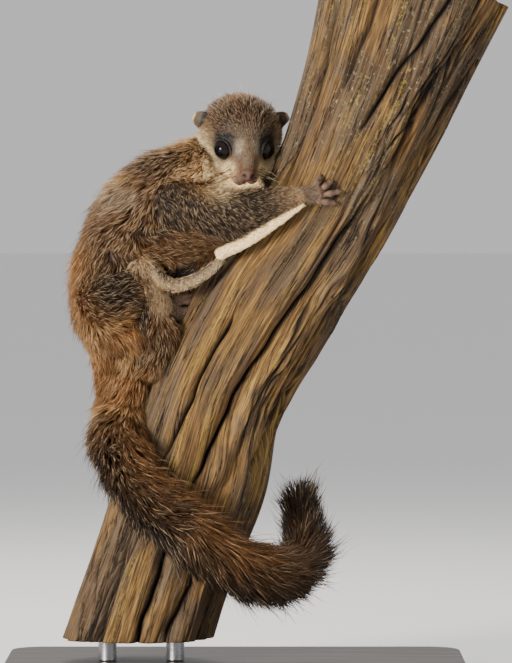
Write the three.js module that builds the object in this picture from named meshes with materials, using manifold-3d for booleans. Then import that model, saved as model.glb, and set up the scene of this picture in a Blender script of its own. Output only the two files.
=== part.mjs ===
// A young giant flying squirrel clinging to a leaning dead trunk, life size, on a plain display stand.
// Millimetres, +Z up. +X runs to the right and +Y away from the viewer, who looks at the animal's right side.
// The origin is the middle of the underside of the base.

import * as THREE from "three";
import { mergeVertices } from "three/addons/utils/BufferGeometryUtils.js";
import Module from "manifold-3d";

const wasm = await Module();
wasm.setup();

// Stand: a flat base and two short rods under the perch
const baseWidth = 300;
const baseDepth = 200;
const baseThickness = 12;
const baseCornerRadius = 22;
const baseBevel = 1.5;
const rodDiameter = 12;
const rodSpacing = 44;
const perchBottom = 27;

// Gap that pieces keep where they meet
const gap = 0.3;

// Perch: points on the trunk's centre line with its half-widths across and deep
const trunkCourse = [
  { at: [-79, 0, -20], across: 47, deep: 42 },
  { at: [-63, 0, 30], across: 46, deep: 42 },
  { at: [-45, 0, 84], across: 45.5, deep: 42 },
  { at: [-27, 0, 132], across: 47.5, deep: 43 },
  { at: [-12, 0, 184], across: 44, deep: 40 },
  { at: [20.5, 0, 247], across: 45.5, deep: 40 },
  { at: [59, 0, 308], across: 43, deep: 40 },
  { at: [90, 0, 378], across: 49, deep: 45 },
  { at: [119, 0, 458], across: 61, deep: 55 },
];
const trunkRings = 17;
const trunkSides = 38;
const perchFoot = [-61, 0];

// Torso, from the neck to the root of the tail: half-widths across the back and from side to side
const torsoCourse = [
  { at: [-13, -5, 341.5], across: 20.5, deep: 15.5 },
  { at: [-28, -12, 327], across: 27.5, deep: 25.5 },
  { at: [-51, -13, 308], across: 34, deep: 31 },
  { at: [-66, -11, 280], across: 35.5, deep: 34 },
  { at: [-74, -9, 248], across: 34.5, deep: 33 },
  { at: [-72, -8, 214], across: 24.5, deep: 25 },
  { at: [-72, -8, 184], across: 18, deep: 18 },
];
const torsoSplits = { neck: 0.17, chest: 0.5, loin: 0.72 };
const torsoSides = 22;

// Head: where it is, how it is turned, and its rings from the nape to the muzzle in its own frame
const headAt = [4.5, -16, 348.5];
const headYaw = 12;
const headPitch = 37;
const headCourse = [
  { forward: -27, up: 1, wide: 15, high: 15 },
  { forward: -19, up: 1.5, wide: 23.5, high: 22.5 },
  { forward: -9, up: 1.5, wide: 26.5, high: 25.5 },
  { forward: -1, up: 0.5, wide: 24.5, high: 25.5 },
  { forward: 5, up: -1, wide: 20.5, high: 23.5 },
  { forward: 10, up: -3, wide: 16.5, high: 20.5 },
  { forward: 15, up: -5, wide: 12.8, high: 16.5 },
  { forward: 20, up: -6.5, wide: 10.4, high: 12 },
  { forward: 23.5, up: -7, wide: 8.4, high: 8.8 },
  { forward: 25.5, up: -7, wide: 6.4, high: 6.8 },
];
const headSides = 20;
const headRings = 13;
const cheek = { forward: 7, turn: 40, proud: 9.5, reach: 8.5, spread: 0.52 };
const socket = { forward: 9.5, turn: -14, proud: -2.2, reach: 5.5, spread: 0.4 };
const eyeRadius = 7.2;
const eyePlace = { forward: 8, left: 12.6, up: 1.6 };
const eyeFacing = { forward: 0.62, left: 0.77, up: 0.12 };
const lidRadius = 1.2;
const lidOpening = 6.3;
const mouthWidth = 8;
const nosePadWidth = 10;
const earRoot = { forward: -7, left: 20.5, up: 11 };
const earTip = { forward: -12, left: 33, up: 13.6 };
const earWidth = 15.5;
const earCup = 3.6;
const earThickness = 1.5;

// Tail: points on its centre line, with the half-width out to the tips of its coat
const tailCourse = [
  { at: [-73, -9, 181], reach: 17.5 },
  { at: [-75, -20, 163], reach: 22 },
  { at: [-70, -40, 143], reach: 23.5 },
  { at: [-56, -58, 124], reach: 22.5 },
  { at: [-38, -66, 108], reach: 22 },
  { at: [-18, -66, 92], reach: 22 },
  { at: [2, -57, 80], reach: 21.5 },
  { at: [21, -40, 72], reach: 20.5 },
  { at: [37, -17, 72], reach: 19 },
  { at: [45, 4, 82], reach: 16.5 },
  { at: [45, 17, 97], reach: 13.5 },
  { at: [43, 25, 113], reach: 9 },
];
const tailLengths = 5;
const tailCutSize = 62;
const tailCoreShare = 0.5;
const rowsPerLength = 3;
const locksAround = 6;
const lockLength = 36;
const lockWidthShare = 0.7;
const lockThickness = 2.6;
const lockSink = 3.5;
const lockRise = 0.45;
const firstRowRise = 0.8;
const tailSeed = 12;

// Limbs: the joints of each, then the knuckles and tips of its toes
const joints = {
  right: {
    shoulder: [-40, -30, 309], elbow: [-6, -41, 301.5], wrist: [42, -46.5, 314.5],
    hip: [-82, -29, 246], knee: [-58, -37, 269], heel: [-50, -23, 228],
  },
  left: {
    shoulder: [-38, 7, 309], elbow: [-11, 36, 298], wrist: [38, 47, 305],
    hip: [-80, 12, 246], knee: [-58, 20, 268], heel: [-50, 13, 228],
  },
};
const fingers = {
  right: [
    { knuckle: [51, -45, 320.5], tip: [54, -43, 326] },
    { knuckle: [55, -44.5, 318.5], tip: [61, -42.5, 323] },
    { knuckle: [56, -44.5, 315], tip: [66, -42.5, 317] },
    { knuckle: [54, -45, 311], tip: [63, -42.5, 310] },
  ],
  left: [
    { knuckle: [47, 45, 312], tip: [50, 43, 317] },
    { knuckle: [51, 44.5, 310], tip: [57, 42.5, 314] },
    { knuckle: [52, 44.5, 306], tip: [62, 42.5, 308] },
    { knuckle: [50, 45, 302], tip: [59, 42.5, 301] },
  ],
};
const toes = {
  right: [
    { knuckle: [-39, -18, 249], tip: [-28, -13, 251] },
    { knuckle: [-38, -17, 246], tip: [-26, -12, 247.5] },
    { knuckle: [-38, -16, 242], tip: [-26, -11, 242] },
    { knuckle: [-38, -15, 239], tip: [-26, -10, 239] },
    { knuckle: [-39, -14, 236], tip: [-29, -9, 235.5] },
  ],
  left: [
    { knuckle: [-39, 18, 249], tip: [-28, 13, 251] },
    { knuckle: [-38, 17, 246], tip: [-26, 12, 247.5] },
    { knuckle: [-38, 16, 242], tip: [-26, 11, 242] },
    { knuckle: [-38, 15, 239], tip: [-26, 10, 239] },
    { knuckle: [-39, 14, 236], tip: [-29, 9, 235.5] },
  ],
};
const palmHalfWidth = 6.5;
const fingerRadius = 2;

const away = new THREE.Vector3(0, 1, 0);
const upright = new THREE.Vector3(0, 0, 1);

// Turns a geometry into a solid, with only its positions kept and shared
function solidOf(geometry) {
  const plain = geometry.clone();
  plain.deleteAttribute("normal");
  plain.deleteAttribute("uv");
  const merged = mergeVertices(plain, 1e-4);
  return new wasm.Manifold(
    new wasm.Mesh({
      numProp: 3,
      vertProperties: new Float32Array(merged.attributes.position.array),
      triVerts: new Uint32Array(merged.index.array),
    }),
  );
}

// Gives back the vertices and triangles of a solid
function geometryOf(solid) {
  const mesh = solid.getMesh();
  const geometry = new THREE.BufferGeometry();
  geometry.setAttribute("position", new THREE.BufferAttribute(new Float32Array(mesh.vertProperties), 3));
  geometry.setIndex(new THREE.BufferAttribute(new Uint32Array(mesh.triVerts), 1));
  const flat = geometry.toNonIndexed();
  flat.computeVertexNormals();
  return flat;
}

// The largest closed body of a solid, without loose scraps or sealed hollows
function largest(solid) {
  const bodies = solid.decompose();
  bodies.sort((one, other) => other.volume() - one.volume());
  return bodies[0];
}

// Joins and cuts, keeping only the largest body
function joined(solids) {
  return solids.reduce((sum, solid) => sum.add(solid));
}

function cutClear(solid, neighbours) {
  return largest(neighbours.reduce((rest, other) => rest.subtract(other), solid));
}

// A closed geometry from rings of equal size, each end closed on its own middle point
function ringGeometry(rings, startMiddle, endMiddle) {
  const sides = rings[0].length;
  const positions = [];
  const index = [];
  for (const ring of rings) {
    for (const point of ring) {
      positions.push(point.x, point.y, point.z);
    }
  }
  const start = rings.length * sides;
  const end = start + 1;
  positions.push(startMiddle.x, startMiddle.y, startMiddle.z);
  positions.push(endMiddle.x, endMiddle.y, endMiddle.z);
  const last = (rings.length - 1) * sides;
  for (let side = 0; side < sides; side++) {
    const next = (side + 1) % sides;
    index.push(start, next, side);
    index.push(end, last + side, last + next);
    for (let ring = 0; ring < rings.length - 1; ring++) {
      const here = ring * sides;
      const there = here + sides;
      index.push(here + side, here + next, there + next);
      index.push(here + side, there + next, there + side);
    }
  }
  const geometry = new THREE.BufferGeometry();
  geometry.setAttribute("position", new THREE.Float32BufferAttribute(positions, 3));
  geometry.setIndex(index);
  return geometry;
}

// A course of centre points with half-widths, sampled as one smooth line
function courseOf(points) {
  const line = new THREE.CatmullRomCurve3(
    points.map((point) => new THREE.Vector3(...point.at)),
    false,
    "centripetal",
  );
  const widths = new THREE.CatmullRomCurve3(
    points.map((point) => new THREE.Vector3(point.across ?? point.reach, point.deep ?? point.reach, 0)),
    false,
    "centripetal",
  );
  return { line, widths };
}

// The middle, direction and half-widths of a course at one place. The rings stand square to the line, or
// to the direction that facing gives.
function stationOf(course, place, reference, facing) {
  const middle = course.line.getPoint(place);
  const along = facing ?? course.line.getTangent(place);
  const deep = reference.clone().addScaledVector(along, -reference.dot(along)).normalize();
  const across = deep.clone().cross(along);
  const width = course.widths.getPoint(place);
  return { middle, along, deep, across, halfAcross: width.x, halfDeep: width.y };
}

// A closed loft of oval rings along a course, between two places on it. startCap and endCap are the
// lengths of round ends, or 0 for a flat face that stands back by half the gap.
function loft(points, options) {
  const {
    rings = 8, sides = 12, from = 0, to = 1, startCap = 0, endCap = 0,
    reference = away, facing = null, grow = 0, relief = null, angleAt = null, capTurns = [65, 32],
  } = options;
  const course = courseOf(points);
  const loops = [];
  const ringAt = (place, shift, scale) => {
    const station = stationOf(course, place, reference, facing);
    const middle = station.middle.clone().addScaledVector(station.along, shift);
    const loop = [];
    for (let side = 0; side < sides; side++) {
      const even = (side / sides) * 2 * Math.PI;
      const angle = angleAt ? angleAt(place, even) : even;
      const extra = relief ? relief(place, angle, station.middle) : 0;
      const across = (station.halfAcross + grow + extra) * scale * Math.cos(angle);
      const deep = (station.halfDeep + grow + extra) * scale * Math.sin(angle);
      loop.push(middle.clone().addScaledVector(station.across, across).addScaledVector(station.deep, deep));
    }
    return { loop, middle };
  };
  const inset = (cap, place) => (cap > 0 ? 0 : place > 0 && place < 1 ? gap / 2 : 0);
  const startShift = inset(startCap, from);
  const endShift = -inset(endCap, to);
  let startMiddle = ringAt(from, startShift - grow * Number(startCap === 0), 1).middle;
  let endMiddle = ringAt(to, endShift + grow * Number(endCap === 0), 1).middle;
  if (startCap > 0) {
    startMiddle = ringAt(from, -startCap - grow, 1).middle;
    for (const turn of capTurns) {
      const angle = THREE.MathUtils.degToRad(turn);
      loops.push(ringAt(from, -(startCap + grow) * Math.sin(angle), Math.cos(angle)).loop);
    }
  }
  for (let ring = 0; ring <= rings; ring++) {
    const place = from + ((to - from) * ring) / rings;
    let shift = 0;
    if (ring === 0) {
      shift = startShift - grow * Number(startCap === 0);
    }
    if (ring === rings) {
      shift = endShift + grow * Number(endCap === 0);
    }
    loops.push(ringAt(place, shift, 1).loop);
  }
  if (endCap > 0) {
    endMiddle = ringAt(to, endCap + grow, 1).middle;
    for (const turn of [...capTurns].reverse()) {
      const angle = THREE.MathUtils.degToRad(turn);
      loops.push(ringAt(to, (endCap + grow) * Math.sin(angle), Math.cos(angle)).loop);
    }
  }
  return solidOf(ringGeometry(loops, startMiddle, endMiddle));
}

const course = (...points) => points.map(([at, across, deep]) => ({ at, across, deep: deep ?? across }));
const halfway = (one, other) => one.map((value, axis) => (value + other[axis]) / 2);

// Perch: a weathered trunk with lengthwise ribs, cracks and ledges, cut flat at both ends. A crack or ledge
// runs over places on the course, from 0 to 1, at turns in degrees from the trunk's right side, and the
// viewer faces 270. A crack is as deep as its depth, and a ledge stands up by its rise.
const trunkLines = [
  { course: [[0.34, 269], [0.42, 277], [0.5, 285], [0.58, 292], [0.72, 297], [0.79, 300]], depth: 9, half: 12 },
  { course: [[0.36, 287], [0.44, 294], [0.52, 302], [0.6, 309], [0.68, 312]], rise: 4, half: 8 },
  { course: [[0.65, 321], [0.7, 315], [0.79, 318]], rise: 4, half: 8 },
  { course: [[0.39, 241], [0.44, 243], [0.49, 248], [0.61, 252]], depth: 8, half: 8 },
  { course: [[-0.15, 272], [0.12, 272], [0.24, 270], [0.31, 266]], depth: 9, half: 8 },
  { course: [[0.85, 240], [0.91, 246], [1.1, 258]], depth: 4, half: 7 },
  { course: [[0.82, 264], [0.89, 277], [0.93, 287], [1.1, 316]], depth: 5, half: 8 },
  { course: [[0.4, 315], [0.47, 331], [0.57, 342]], depth: 5, half: 8 },
  { course: [[0.12, 296], [0.22, 301], [0.33, 298]], depth: 5, half: 9 },
  { course: [[0.02, 240], [0.18, 236], [0.33, 228]], depth: 4, half: 8 },
  { course: [[0.8, 309], [0.88, 302], [0.97, 322]], depth: 4, half: 8 },
  { course: [[0.62, 340], [0.78, 333], [1.15, 345]], depth: 5, half: 8 },
  { course: [[-0.15, 326], [0.15, 333], [0.32, 327]], depth: 6, half: 9 },
  { course: [[0.2, 18], [0.45, 24], [0.7, 14]], depth: 5, half: 9 },
  { course: [[0.1, 62], [0.35, 55], [0.6, 63]], depth: 6, half: 9 },
  { course: [[0.5, 92], [0.75, 85], [1.15, 95]], depth: 5, half: 9 },
  { course: [[0.35, 128], [0.6, 136], [0.9, 126]], depth: 6, half: 9 },
  { course: [[-0.15, 158], [0.2, 165], [0.45, 160]], depth: 5, half: 9 },
  { course: [[0.1, 196], [0.35, 189], [0.6, 198]], depth: 4, half: 9 },
  { course: [[0.55, 214], [0.75, 222], [0.97, 212]], depth: 4, half: 9 },
];
const trunkRibs = [
  { height: 1.1, waves: 7, drift: 3, start: 0 },
  { height: 0.8, waves: 12, drift: -5, start: 1 },
  { height: 0.6, waves: 5, drift: -9, start: 2 },
];

// The turn of a crack or ledge at a place, or null where it doesn't run
function lineTurn(line, place) {
  for (let point = 1; point < line.course.length; point++) {
    const [from, fromTurn] = line.course[point - 1];
    const [to, toTurn] = line.course[point];
    if (place >= from && place <= to) {
      return fromTurn + ((toTurn - fromTurn) * (place - from)) / (to - from);
    }
  }
  return null;
}

const turnBetween = (one, other) => ((((one - other) % 360) + 540) % 360) - 180;

// How far the wood stands out or in at a place and an angle
function trunkRelief(place, angle) {
  let relief = 0;
  for (const rib of trunkRibs) {
    relief += rib.height * Math.sin(rib.waves * angle + rib.drift * place + rib.start);
  }
  for (const line of trunkLines) {
    const centre = lineTurn(line, place);
    if (centre !== null) {
      const first = line.course[0][0];
      const length = line.course[line.course.length - 1][0] - first;
      const along = Math.min(1, 1.6 * Math.sin((Math.PI * (place - first)) / length) + 0.25);
      const off = Math.abs(turnBetween(THREE.MathUtils.radToDeg(angle), centre));
      relief += ((line.rise ?? 0) - (line.depth ?? 0)) * along * Math.max(0, 1 - off / line.half);
    }
  }
  return relief;
}

// The corner of a ring that is nearest to a crack or ledge moves onto it
function trunkAngle(place, angle) {
  const turn = THREE.MathUtils.radToDeg(angle);
  for (const line of trunkLines) {
    const centre = lineTurn(line, place);
    if (centre !== null && Math.abs(turnBetween(turn, centre)) < 180 / trunkSides) {
      return THREE.MathUtils.degToRad(centre);
    }
  }
  return angle;
}

function perch(grow = 0) {
  const body = loft(trunkCourse, {
    rings: trunkRings, sides: trunkSides, grow, relief: trunkRelief, angleAt: trunkAngle,
  });
  const belowCut = new THREE.BoxGeometry(200, 200, 100);
  belowCut.translate(...perchFoot, perchBottom - grow - 50);
  return body.subtract(solidOf(belowCut));
}

// Stand
function standBase() {
  const outline = new THREE.Shape();
  const halfWidth = baseWidth / 2 - baseBevel;
  const halfDepth = baseDepth / 2 - baseBevel;
  const radius = baseCornerRadius;
  outline.moveTo(radius - halfWidth, -halfDepth);
  outline.absarc(halfWidth - radius, radius - halfDepth, radius, -Math.PI / 2, 0);
  outline.absarc(halfWidth - radius, halfDepth - radius, radius, 0, Math.PI / 2);
  outline.absarc(radius - halfWidth, halfDepth - radius, radius, Math.PI / 2, Math.PI);
  outline.absarc(radius - halfWidth, radius - halfDepth, radius, Math.PI, 1.5 * Math.PI);
  const geometry = new THREE.ExtrudeGeometry(outline, {
    depth: baseThickness - 2 * baseBevel,
    bevelSize: baseBevel,
    bevelThickness: baseBevel,
    bevelSegments: 1,
    curveSegments: 3,
  });
  geometry.translate(0, 0, baseBevel);
  return solidOf(geometry);
}

function standRod(side) {
  const bottom = baseThickness + gap;
  const height = perchBottom - gap - bottom;
  const geometry = new THREE.CylinderGeometry(rodDiameter / 2, rodDiameter / 2, height, 10);
  geometry.rotateX(Math.PI / 2);
  geometry.translate(perchFoot[0] + (side * rodSpacing) / 2, perchFoot[1], bottom + height / 2);
  return solidOf(geometry);
}

// Torso, in four lengths
function torso(name, grow = 0) {
  const { neck, chest, loin } = torsoSplits;
  const lengths = {
    neck: { from: 0, to: neck, rings: 3 },
    chest: { from: neck, to: chest, rings: 6 },
    loin: { from: chest, to: loin, rings: 4 },
    rump: { from: loin, to: 1, rings: 4 },
    whole: { from: 0, to: 1, rings: 18 },
  };
  return loft(torsoCourse, { ...lengths[name], sides: torsoSides, grow });
}

// Head's own frame: forward to the nose, left of the animal and up to the crown
const yaw = THREE.MathUtils.degToRad(headYaw);
const pitch = THREE.MathUtils.degToRad(headPitch);
const headForward = new THREE.Vector3(
  Math.sin(yaw) * Math.cos(pitch), -Math.cos(yaw) * Math.cos(pitch), -Math.sin(pitch),
);
const headUp = new THREE.Vector3(
  Math.sin(yaw) * Math.sin(pitch), -Math.cos(yaw) * Math.sin(pitch), Math.cos(pitch),
);
const headLeft = headUp.clone().cross(headForward);

function onHead(forward, left, up) {
  return new THREE.Vector3(...headAt)
    .addScaledVector(headForward, forward)
    .addScaledVector(headLeft, left)
    .addScaledVector(headUp, up);
}

function headDirection(forward, left, up) {
  return onHead(forward, left, up).sub(new THREE.Vector3(...headAt)).normalize();
}

// Full cheeks below the eyes and shallow sockets round them, as extra width on both sides of the head
function headRelief(place, angle, middle) {
  const forward = middle.clone().sub(new THREE.Vector3(...headAt)).dot(headForward);
  return [cheek, socket].reduce((sum, form) => {
    const along = Math.exp(-(((forward - form.forward) / form.reach) ** 2));
    const below = THREE.MathUtils.degToRad(form.turn);
    const round = [-below, Math.PI + below].map((turn) => {
      const off = THREE.MathUtils.euclideanModulo(angle - turn + Math.PI, 2 * Math.PI) - Math.PI;
      return Math.exp(-((off / form.spread) ** 2));
    });
    return sum + form.proud * along * Math.max(...round);
  }, 0);
}

function skull(grow = 0) {
  const points = headCourse.map((ring) => ({
    at: onHead(ring.forward, 0, ring.up).toArray(),
    across: ring.wide,
    deep: ring.high,
  }));
  return loft(points, {
    rings: headRings, sides: headSides, startCap: 6, endCap: 2.5,
    reference: headUp, facing: headForward, grow, relief: headRelief,
  });
}

// Eyes, with the ring of the lids round each
function eyeCentre(side) {
  return onHead(eyePlace.forward, side * eyePlace.left, eyePlace.up);
}

function eye(side, grow = 0) {
  const geometry = new THREE.SphereGeometry(eyeRadius + grow, 12, 8);
  geometry.translate(...eyeCentre(side).toArray());
  return solidOf(geometry);
}

function lids(side, grow = 0) {
  const facing = headDirection(eyeFacing.forward, side * eyeFacing.left, eyeFacing.up);
  const stand = Math.sqrt(eyeRadius ** 2 - lidOpening ** 2);
  const geometry = new THREE.TorusGeometry(lidOpening + lidRadius * 0.8, lidRadius + grow, 4, 14);
  geometry.applyQuaternion(new THREE.Quaternion().setFromUnitVectors(upright, facing));
  geometry.translate(...eyeCentre(side).addScaledVector(facing, stand).toArray());
  return solidOf(geometry);
}

// A ball stretched along the head's own axes
function headBall(centre, halfSizes, across = 8, high = 6) {
  const geometry = new THREE.SphereGeometry(1, across, high);
  geometry.scale(halfSizes.forward, halfSizes.left, halfSizes.up);
  geometry.applyMatrix4(new THREE.Matrix4().makeBasis(headForward, headLeft, headUp));
  geometry.translate(...onHead(centre.forward, centre.left, centre.up).toArray());
  return solidOf(geometry);
}

// Whisker pads above the line of the mouth, and the lower lip and chin below it
function lips(grow = 0) {
  const pads = [-1, 1].map((side) => headBall(
    { forward: 20.5, left: side * 4.8, up: -9.5 },
    { forward: 6.8 + grow, left: 6 + grow, up: 5.4 + grow },
  ));
  const chin = headBall(
    { forward: 17.5, left: 0, up: -17 },
    { forward: 6.8 + grow, left: 6.4 + grow, up: 4.6 + grow },
  );
  return joined([...pads, chin]);
}

function mouthLine() {
  const half = mouthWidth;
  const bends = [
    [13, -half - 2.8, -13.4], [20, -half, -14.4], [25.5, -half / 2, -14.6], [27.5, 0, -13.4],
    [25.5, half / 2, -14.6], [20, half, -14.4], [13, half + 2.8, -13.4],
  ];
  const points = bends.map((bend) => ({ at: onHead(...bend).toArray(), across: 3.4, deep: 0.5 }));
  return loft(points, { rings: 8, sides: 4, reference: headUp });
}

function headForm(grow = 0) {
  return joined([skull(grow), lids(1, grow), lids(-1, grow), lips(grow)]);
}

function head() {
  return headForm().subtract(mouthLine());
}

// A thin curved blade between two places across and along, split alike on both faces
function blade(surface, thickness, across, along) {
  const front = [];
  const back = [];
  const step = 1e-3;
  for (let row = 0; row <= along; row++) {
    for (let column = 0; column <= across; column++) {
      const u = (column / across) * 2 - 1;
      const v = row / along;
      const point = surface(u, v);
      const overU = surface(u + step, v).sub(surface(u - step, v));
      const overV = surface(u, v + step).sub(surface(u, v - step));
      const normal = overU.cross(overV).normalize();
      front.push(point.clone().addScaledVector(normal, thickness / 2));
      back.push(point.clone().addScaledVector(normal, -thickness / 2));
    }
  }
  const positions = [...front, ...back].flatMap((point) => point.toArray());
  const index = [];
  const width = across + 1;
  const under = front.length;
  for (let row = 0; row < along; row++) {
    for (let column = 0; column < across; column++) {
      const here = row * width + column;
      const above = here + width;
      index.push(here, here + 1, above + 1, here, above + 1, above);
      index.push(under + here, under + above + 1, under + here + 1);
      index.push(under + here, under + above, under + above + 1);
    }
  }
  const rim = [];
  for (let column = 0; column < across; column++) {
    rim.push(column);
  }
  for (let row = 0; row < along; row++) {
    rim.push(row * width + across);
  }
  for (let column = across; column > 0; column--) {
    rim.push(along * width + column);
  }
  for (let row = along; row > 0; row--) {
    rim.push(row * width);
  }
  rim.forEach((corner, number) => {
    const next = rim[(number + 1) % rim.length];
    index.push(corner, under + corner, under + next, corner, under + next, next);
  });
  const geometry = new THREE.BufferGeometry();
  geometry.setAttribute("position", new THREE.Float32BufferAttribute(positions, 3));
  geometry.setIndex(index);
  return solidOf(geometry);
}

// Ear: a rounded blade with its two edges curled forward into a cup
function ear(side) {
  const root = onHead(earRoot.forward, side * earRoot.left, earRoot.up);
  const tip = onHead(earTip.forward, side * earTip.left, earTip.up);
  const axis = tip.clone().sub(root);
  const rise = headDirection(-0.3, 0, 1);
  const facing = axis.clone().cross(rise).multiplyScalar(side).normalize();
  const surface = (u, v) => {
    const outline = Math.sqrt(Math.max(0.02, 1 - (Math.max(0, v - 0.35) / 0.67) ** 2));
    const half = (earWidth / 2) * outline * (0.85 + 0.15 * v);
    return root.clone()
      .addScaledVector(axis, v)
      .addScaledVector(rise, side * u * half)
      .addScaledVector(facing, -earCup * u * u * (1 - 0.5 * v));
  };
  return blade(surface, earThickness, 6, 6);
}

// Nose: a rounded bare pad with two nostrils
function nose() {
  const pad = headBall(
    { forward: 27, left: 0, up: -5.4 },
    { forward: 4.4, left: nosePadWidth / 2, up: 4.4 },
    10,
    7,
  );
  const nostrils = [-1, 1].map((side) => headBall(
    { forward: 30.4, left: side * 2.7, up: -6.6 },
    { forward: 1.6, left: 1.1, up: 0.8 },
    6,
    4,
  ));
  return nostrils.reduce((rest, hole) => rest.subtract(hole), pad);
}

// Limbs: arms in three lengths, legs in three
function upperArm(word, grow = 0) {
  const { shoulder, elbow } = joints[word];
  return loft(course([shoulder, 20, 17], [elbow, 16, 12.5]), {
    rings: 2, sides: 12, startCap: 11, endCap: 8, grow,
  });
}

function forearm(word, grow = 0) {
  const { elbow, wrist } = joints[word];
  return loft(course([elbow, 15.5, 12], [halfway(elbow, wrist), 11.5, 9.5], [wrist, 6.2, 5.6]), {
    rings: 3, sides: 12, startCap: 8, grow,
  });
}

function thigh(word, grow = 0) {
  const { hip, knee } = joints[word];
  return loft(course([hip, 23, 18], [knee, 13, 11]), {
    rings: 3, sides: 12, startCap: 16, endCap: 8, grow,
  });
}

function shank(word, grow = 0) {
  const { knee, heel } = joints[word];
  return loft(course([knee, 11, 9.5], [halfway(knee, heel), 12, 9], [heel, 6, 6]), {
    rings: 3, sides: 10, startCap: 7, endCap: 4, grow,
  });
}

// A hand or foot: a palm, and a fan of toes that each end in a short claw
function paw(root, digits) {
  const knuckles = digits.map((digit) => new THREE.Vector3(...digit.knuckle));
  const sum = knuckles.reduce((total, point) => total.add(point), new THREE.Vector3());
  const middle = sum.divideScalar(digits.length).toArray();
  const palm = loft(
    course([root, palmHalfWidth * 0.7, palmHalfWidth * 0.6], [middle, palmHalfWidth, palmHalfWidth * 0.5]),
    { rings: 2, sides: 8, endCap: palmHalfWidth * 0.5, capTurns: [45] },
  );
  const fan = digits.map(({ knuckle, tip }) => {
    const bend = halfway(knuckle, tip);
    bend[1] += Math.sign(bend[1]) * 1.2;
    const radius = fingerRadius;
    return loft(course([middle, radius], [knuckle, radius], [bend, radius], [tip, radius * 0.7]), {
      rings: 3, sides: 5, endCap: radius * 1.4, capTurns: [45],
    });
  });
  return joined([palm, ...fan]);
}

function hand(word) {
  const { wrist } = joints[word];
  return paw([wrist[0] + gap, wrist[1], wrist[2]], fingers[word]);
}

function foot(word) {
  return paw(joints[word].heel, toes[word]);
}

// Gliding membrane: the flap under the forearm, and the fold along the flank with its rolled edge
function wristFlap(side) {
  const y = side < 0 ? [-39, -43, -46, -48] : [38, 41, 45, 48];
  return loft(
    course(
      [[-9, y[0], 277.5], 4.8, 3.5], [[6.5, y[1], 285], 5, 3],
      [[20, y[2], 293], 4.5, 2.4], [[34, y[3], 301.5], 3, 2],
    ),
    { rings: 6, sides: 6, startCap: 3, endCap: 2, capTurns: [45] },
  );
}

function flankFold(side, grow = 0) {
  const y = (value) => (side < 0 ? -value : value - 16);
  const edge = loft(
    course(
      [[-9, y(36), 274], 3.6], [[-22, y(33), 263], 4.4], [[-35, y(31), 255], 4.8],
      [[-46, y(33), 260], 4.6], [[-55, y(38), 270], 4.2],
    ),
    { rings: 7, sides: 6, startCap: 3, endCap: 3, capTurns: [45], grow },
  );
  const ridge = loft(
    course(
      [[-16, y(34), 285], 7, 6], [[-36, y(36), 278], 9, 7],
      [[-58, y(38), 277], 8, 7], [[-76, y(36), 280], 5, 4],
    ),
    { rings: 4, sides: 6, startCap: 4, endCap: 4, capTurns: [45], grow },
  );
  const web = loft(
    course([[-14, y(30), 277], 5, 2], [[-32, y(27), 268], 12, 2.4], [[-52, y(30), 268], 9, 2.2]),
    { rings: 3, sides: 6, startCap: 3, endCap: 3, capTurns: [45], grow },
  );
  return joined([edge, ridge, web]);
}

// A seeded random draw between 0 and 1
function drawFrom(seed) {
  let state = seed;
  return () => {
    state = (state + 0x6d2b79f5) | 0;
    let mixed = Math.imul(state ^ (state >>> 15), 1 | state);
    mixed = (mixed + Math.imul(mixed ^ (mixed >>> 7), 61 | mixed)) ^ mixed;
    return ((mixed ^ (mixed >>> 14)) >>> 0) / 4294967296;
  };
}

// A flat, tapered lock with a low ridge, from its flat root to its pointed tip. Each station gives its
// middle, the way across the lock and the way out of its face, with the half-width and thickness.
function lockGeometry(stations, tip) {
  const positions = [];
  const index = [0, 1, 2];
  for (const { middle, across, out, halfWidth, thickness } of stations) {
    for (const [sideways, outward] of [[1, 0], [0, 1], [-1, 0]]) {
      const corner = middle.clone()
        .addScaledVector(across, sideways * halfWidth)
        .addScaledVector(out, outward * thickness);
      positions.push(corner.x, corner.y, corner.z);
    }
  }
  positions.push(tip.x, tip.y, tip.z);
  for (let station = 0; station < stations.length - 1; station++) {
    for (let side = 0; side < 3; side++) {
      const near = station * 3 + side;
      const next = station * 3 + ((side + 1) % 3);
      index.push(near, near + 3, next + 3, near, next + 3, next);
    }
  }
  const last = (stations.length - 1) * 3;
  for (let side = 0; side < 3; side++) {
    index.push(last + side, stations.length * 3, last + ((side + 1) % 3));
  }
  const geometry = new THREE.BufferGeometry();
  geometry.setAttribute("position", new THREE.Float32BufferAttribute(positions, 3));
  geometry.setIndex(index);
  return geometry;
}

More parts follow.
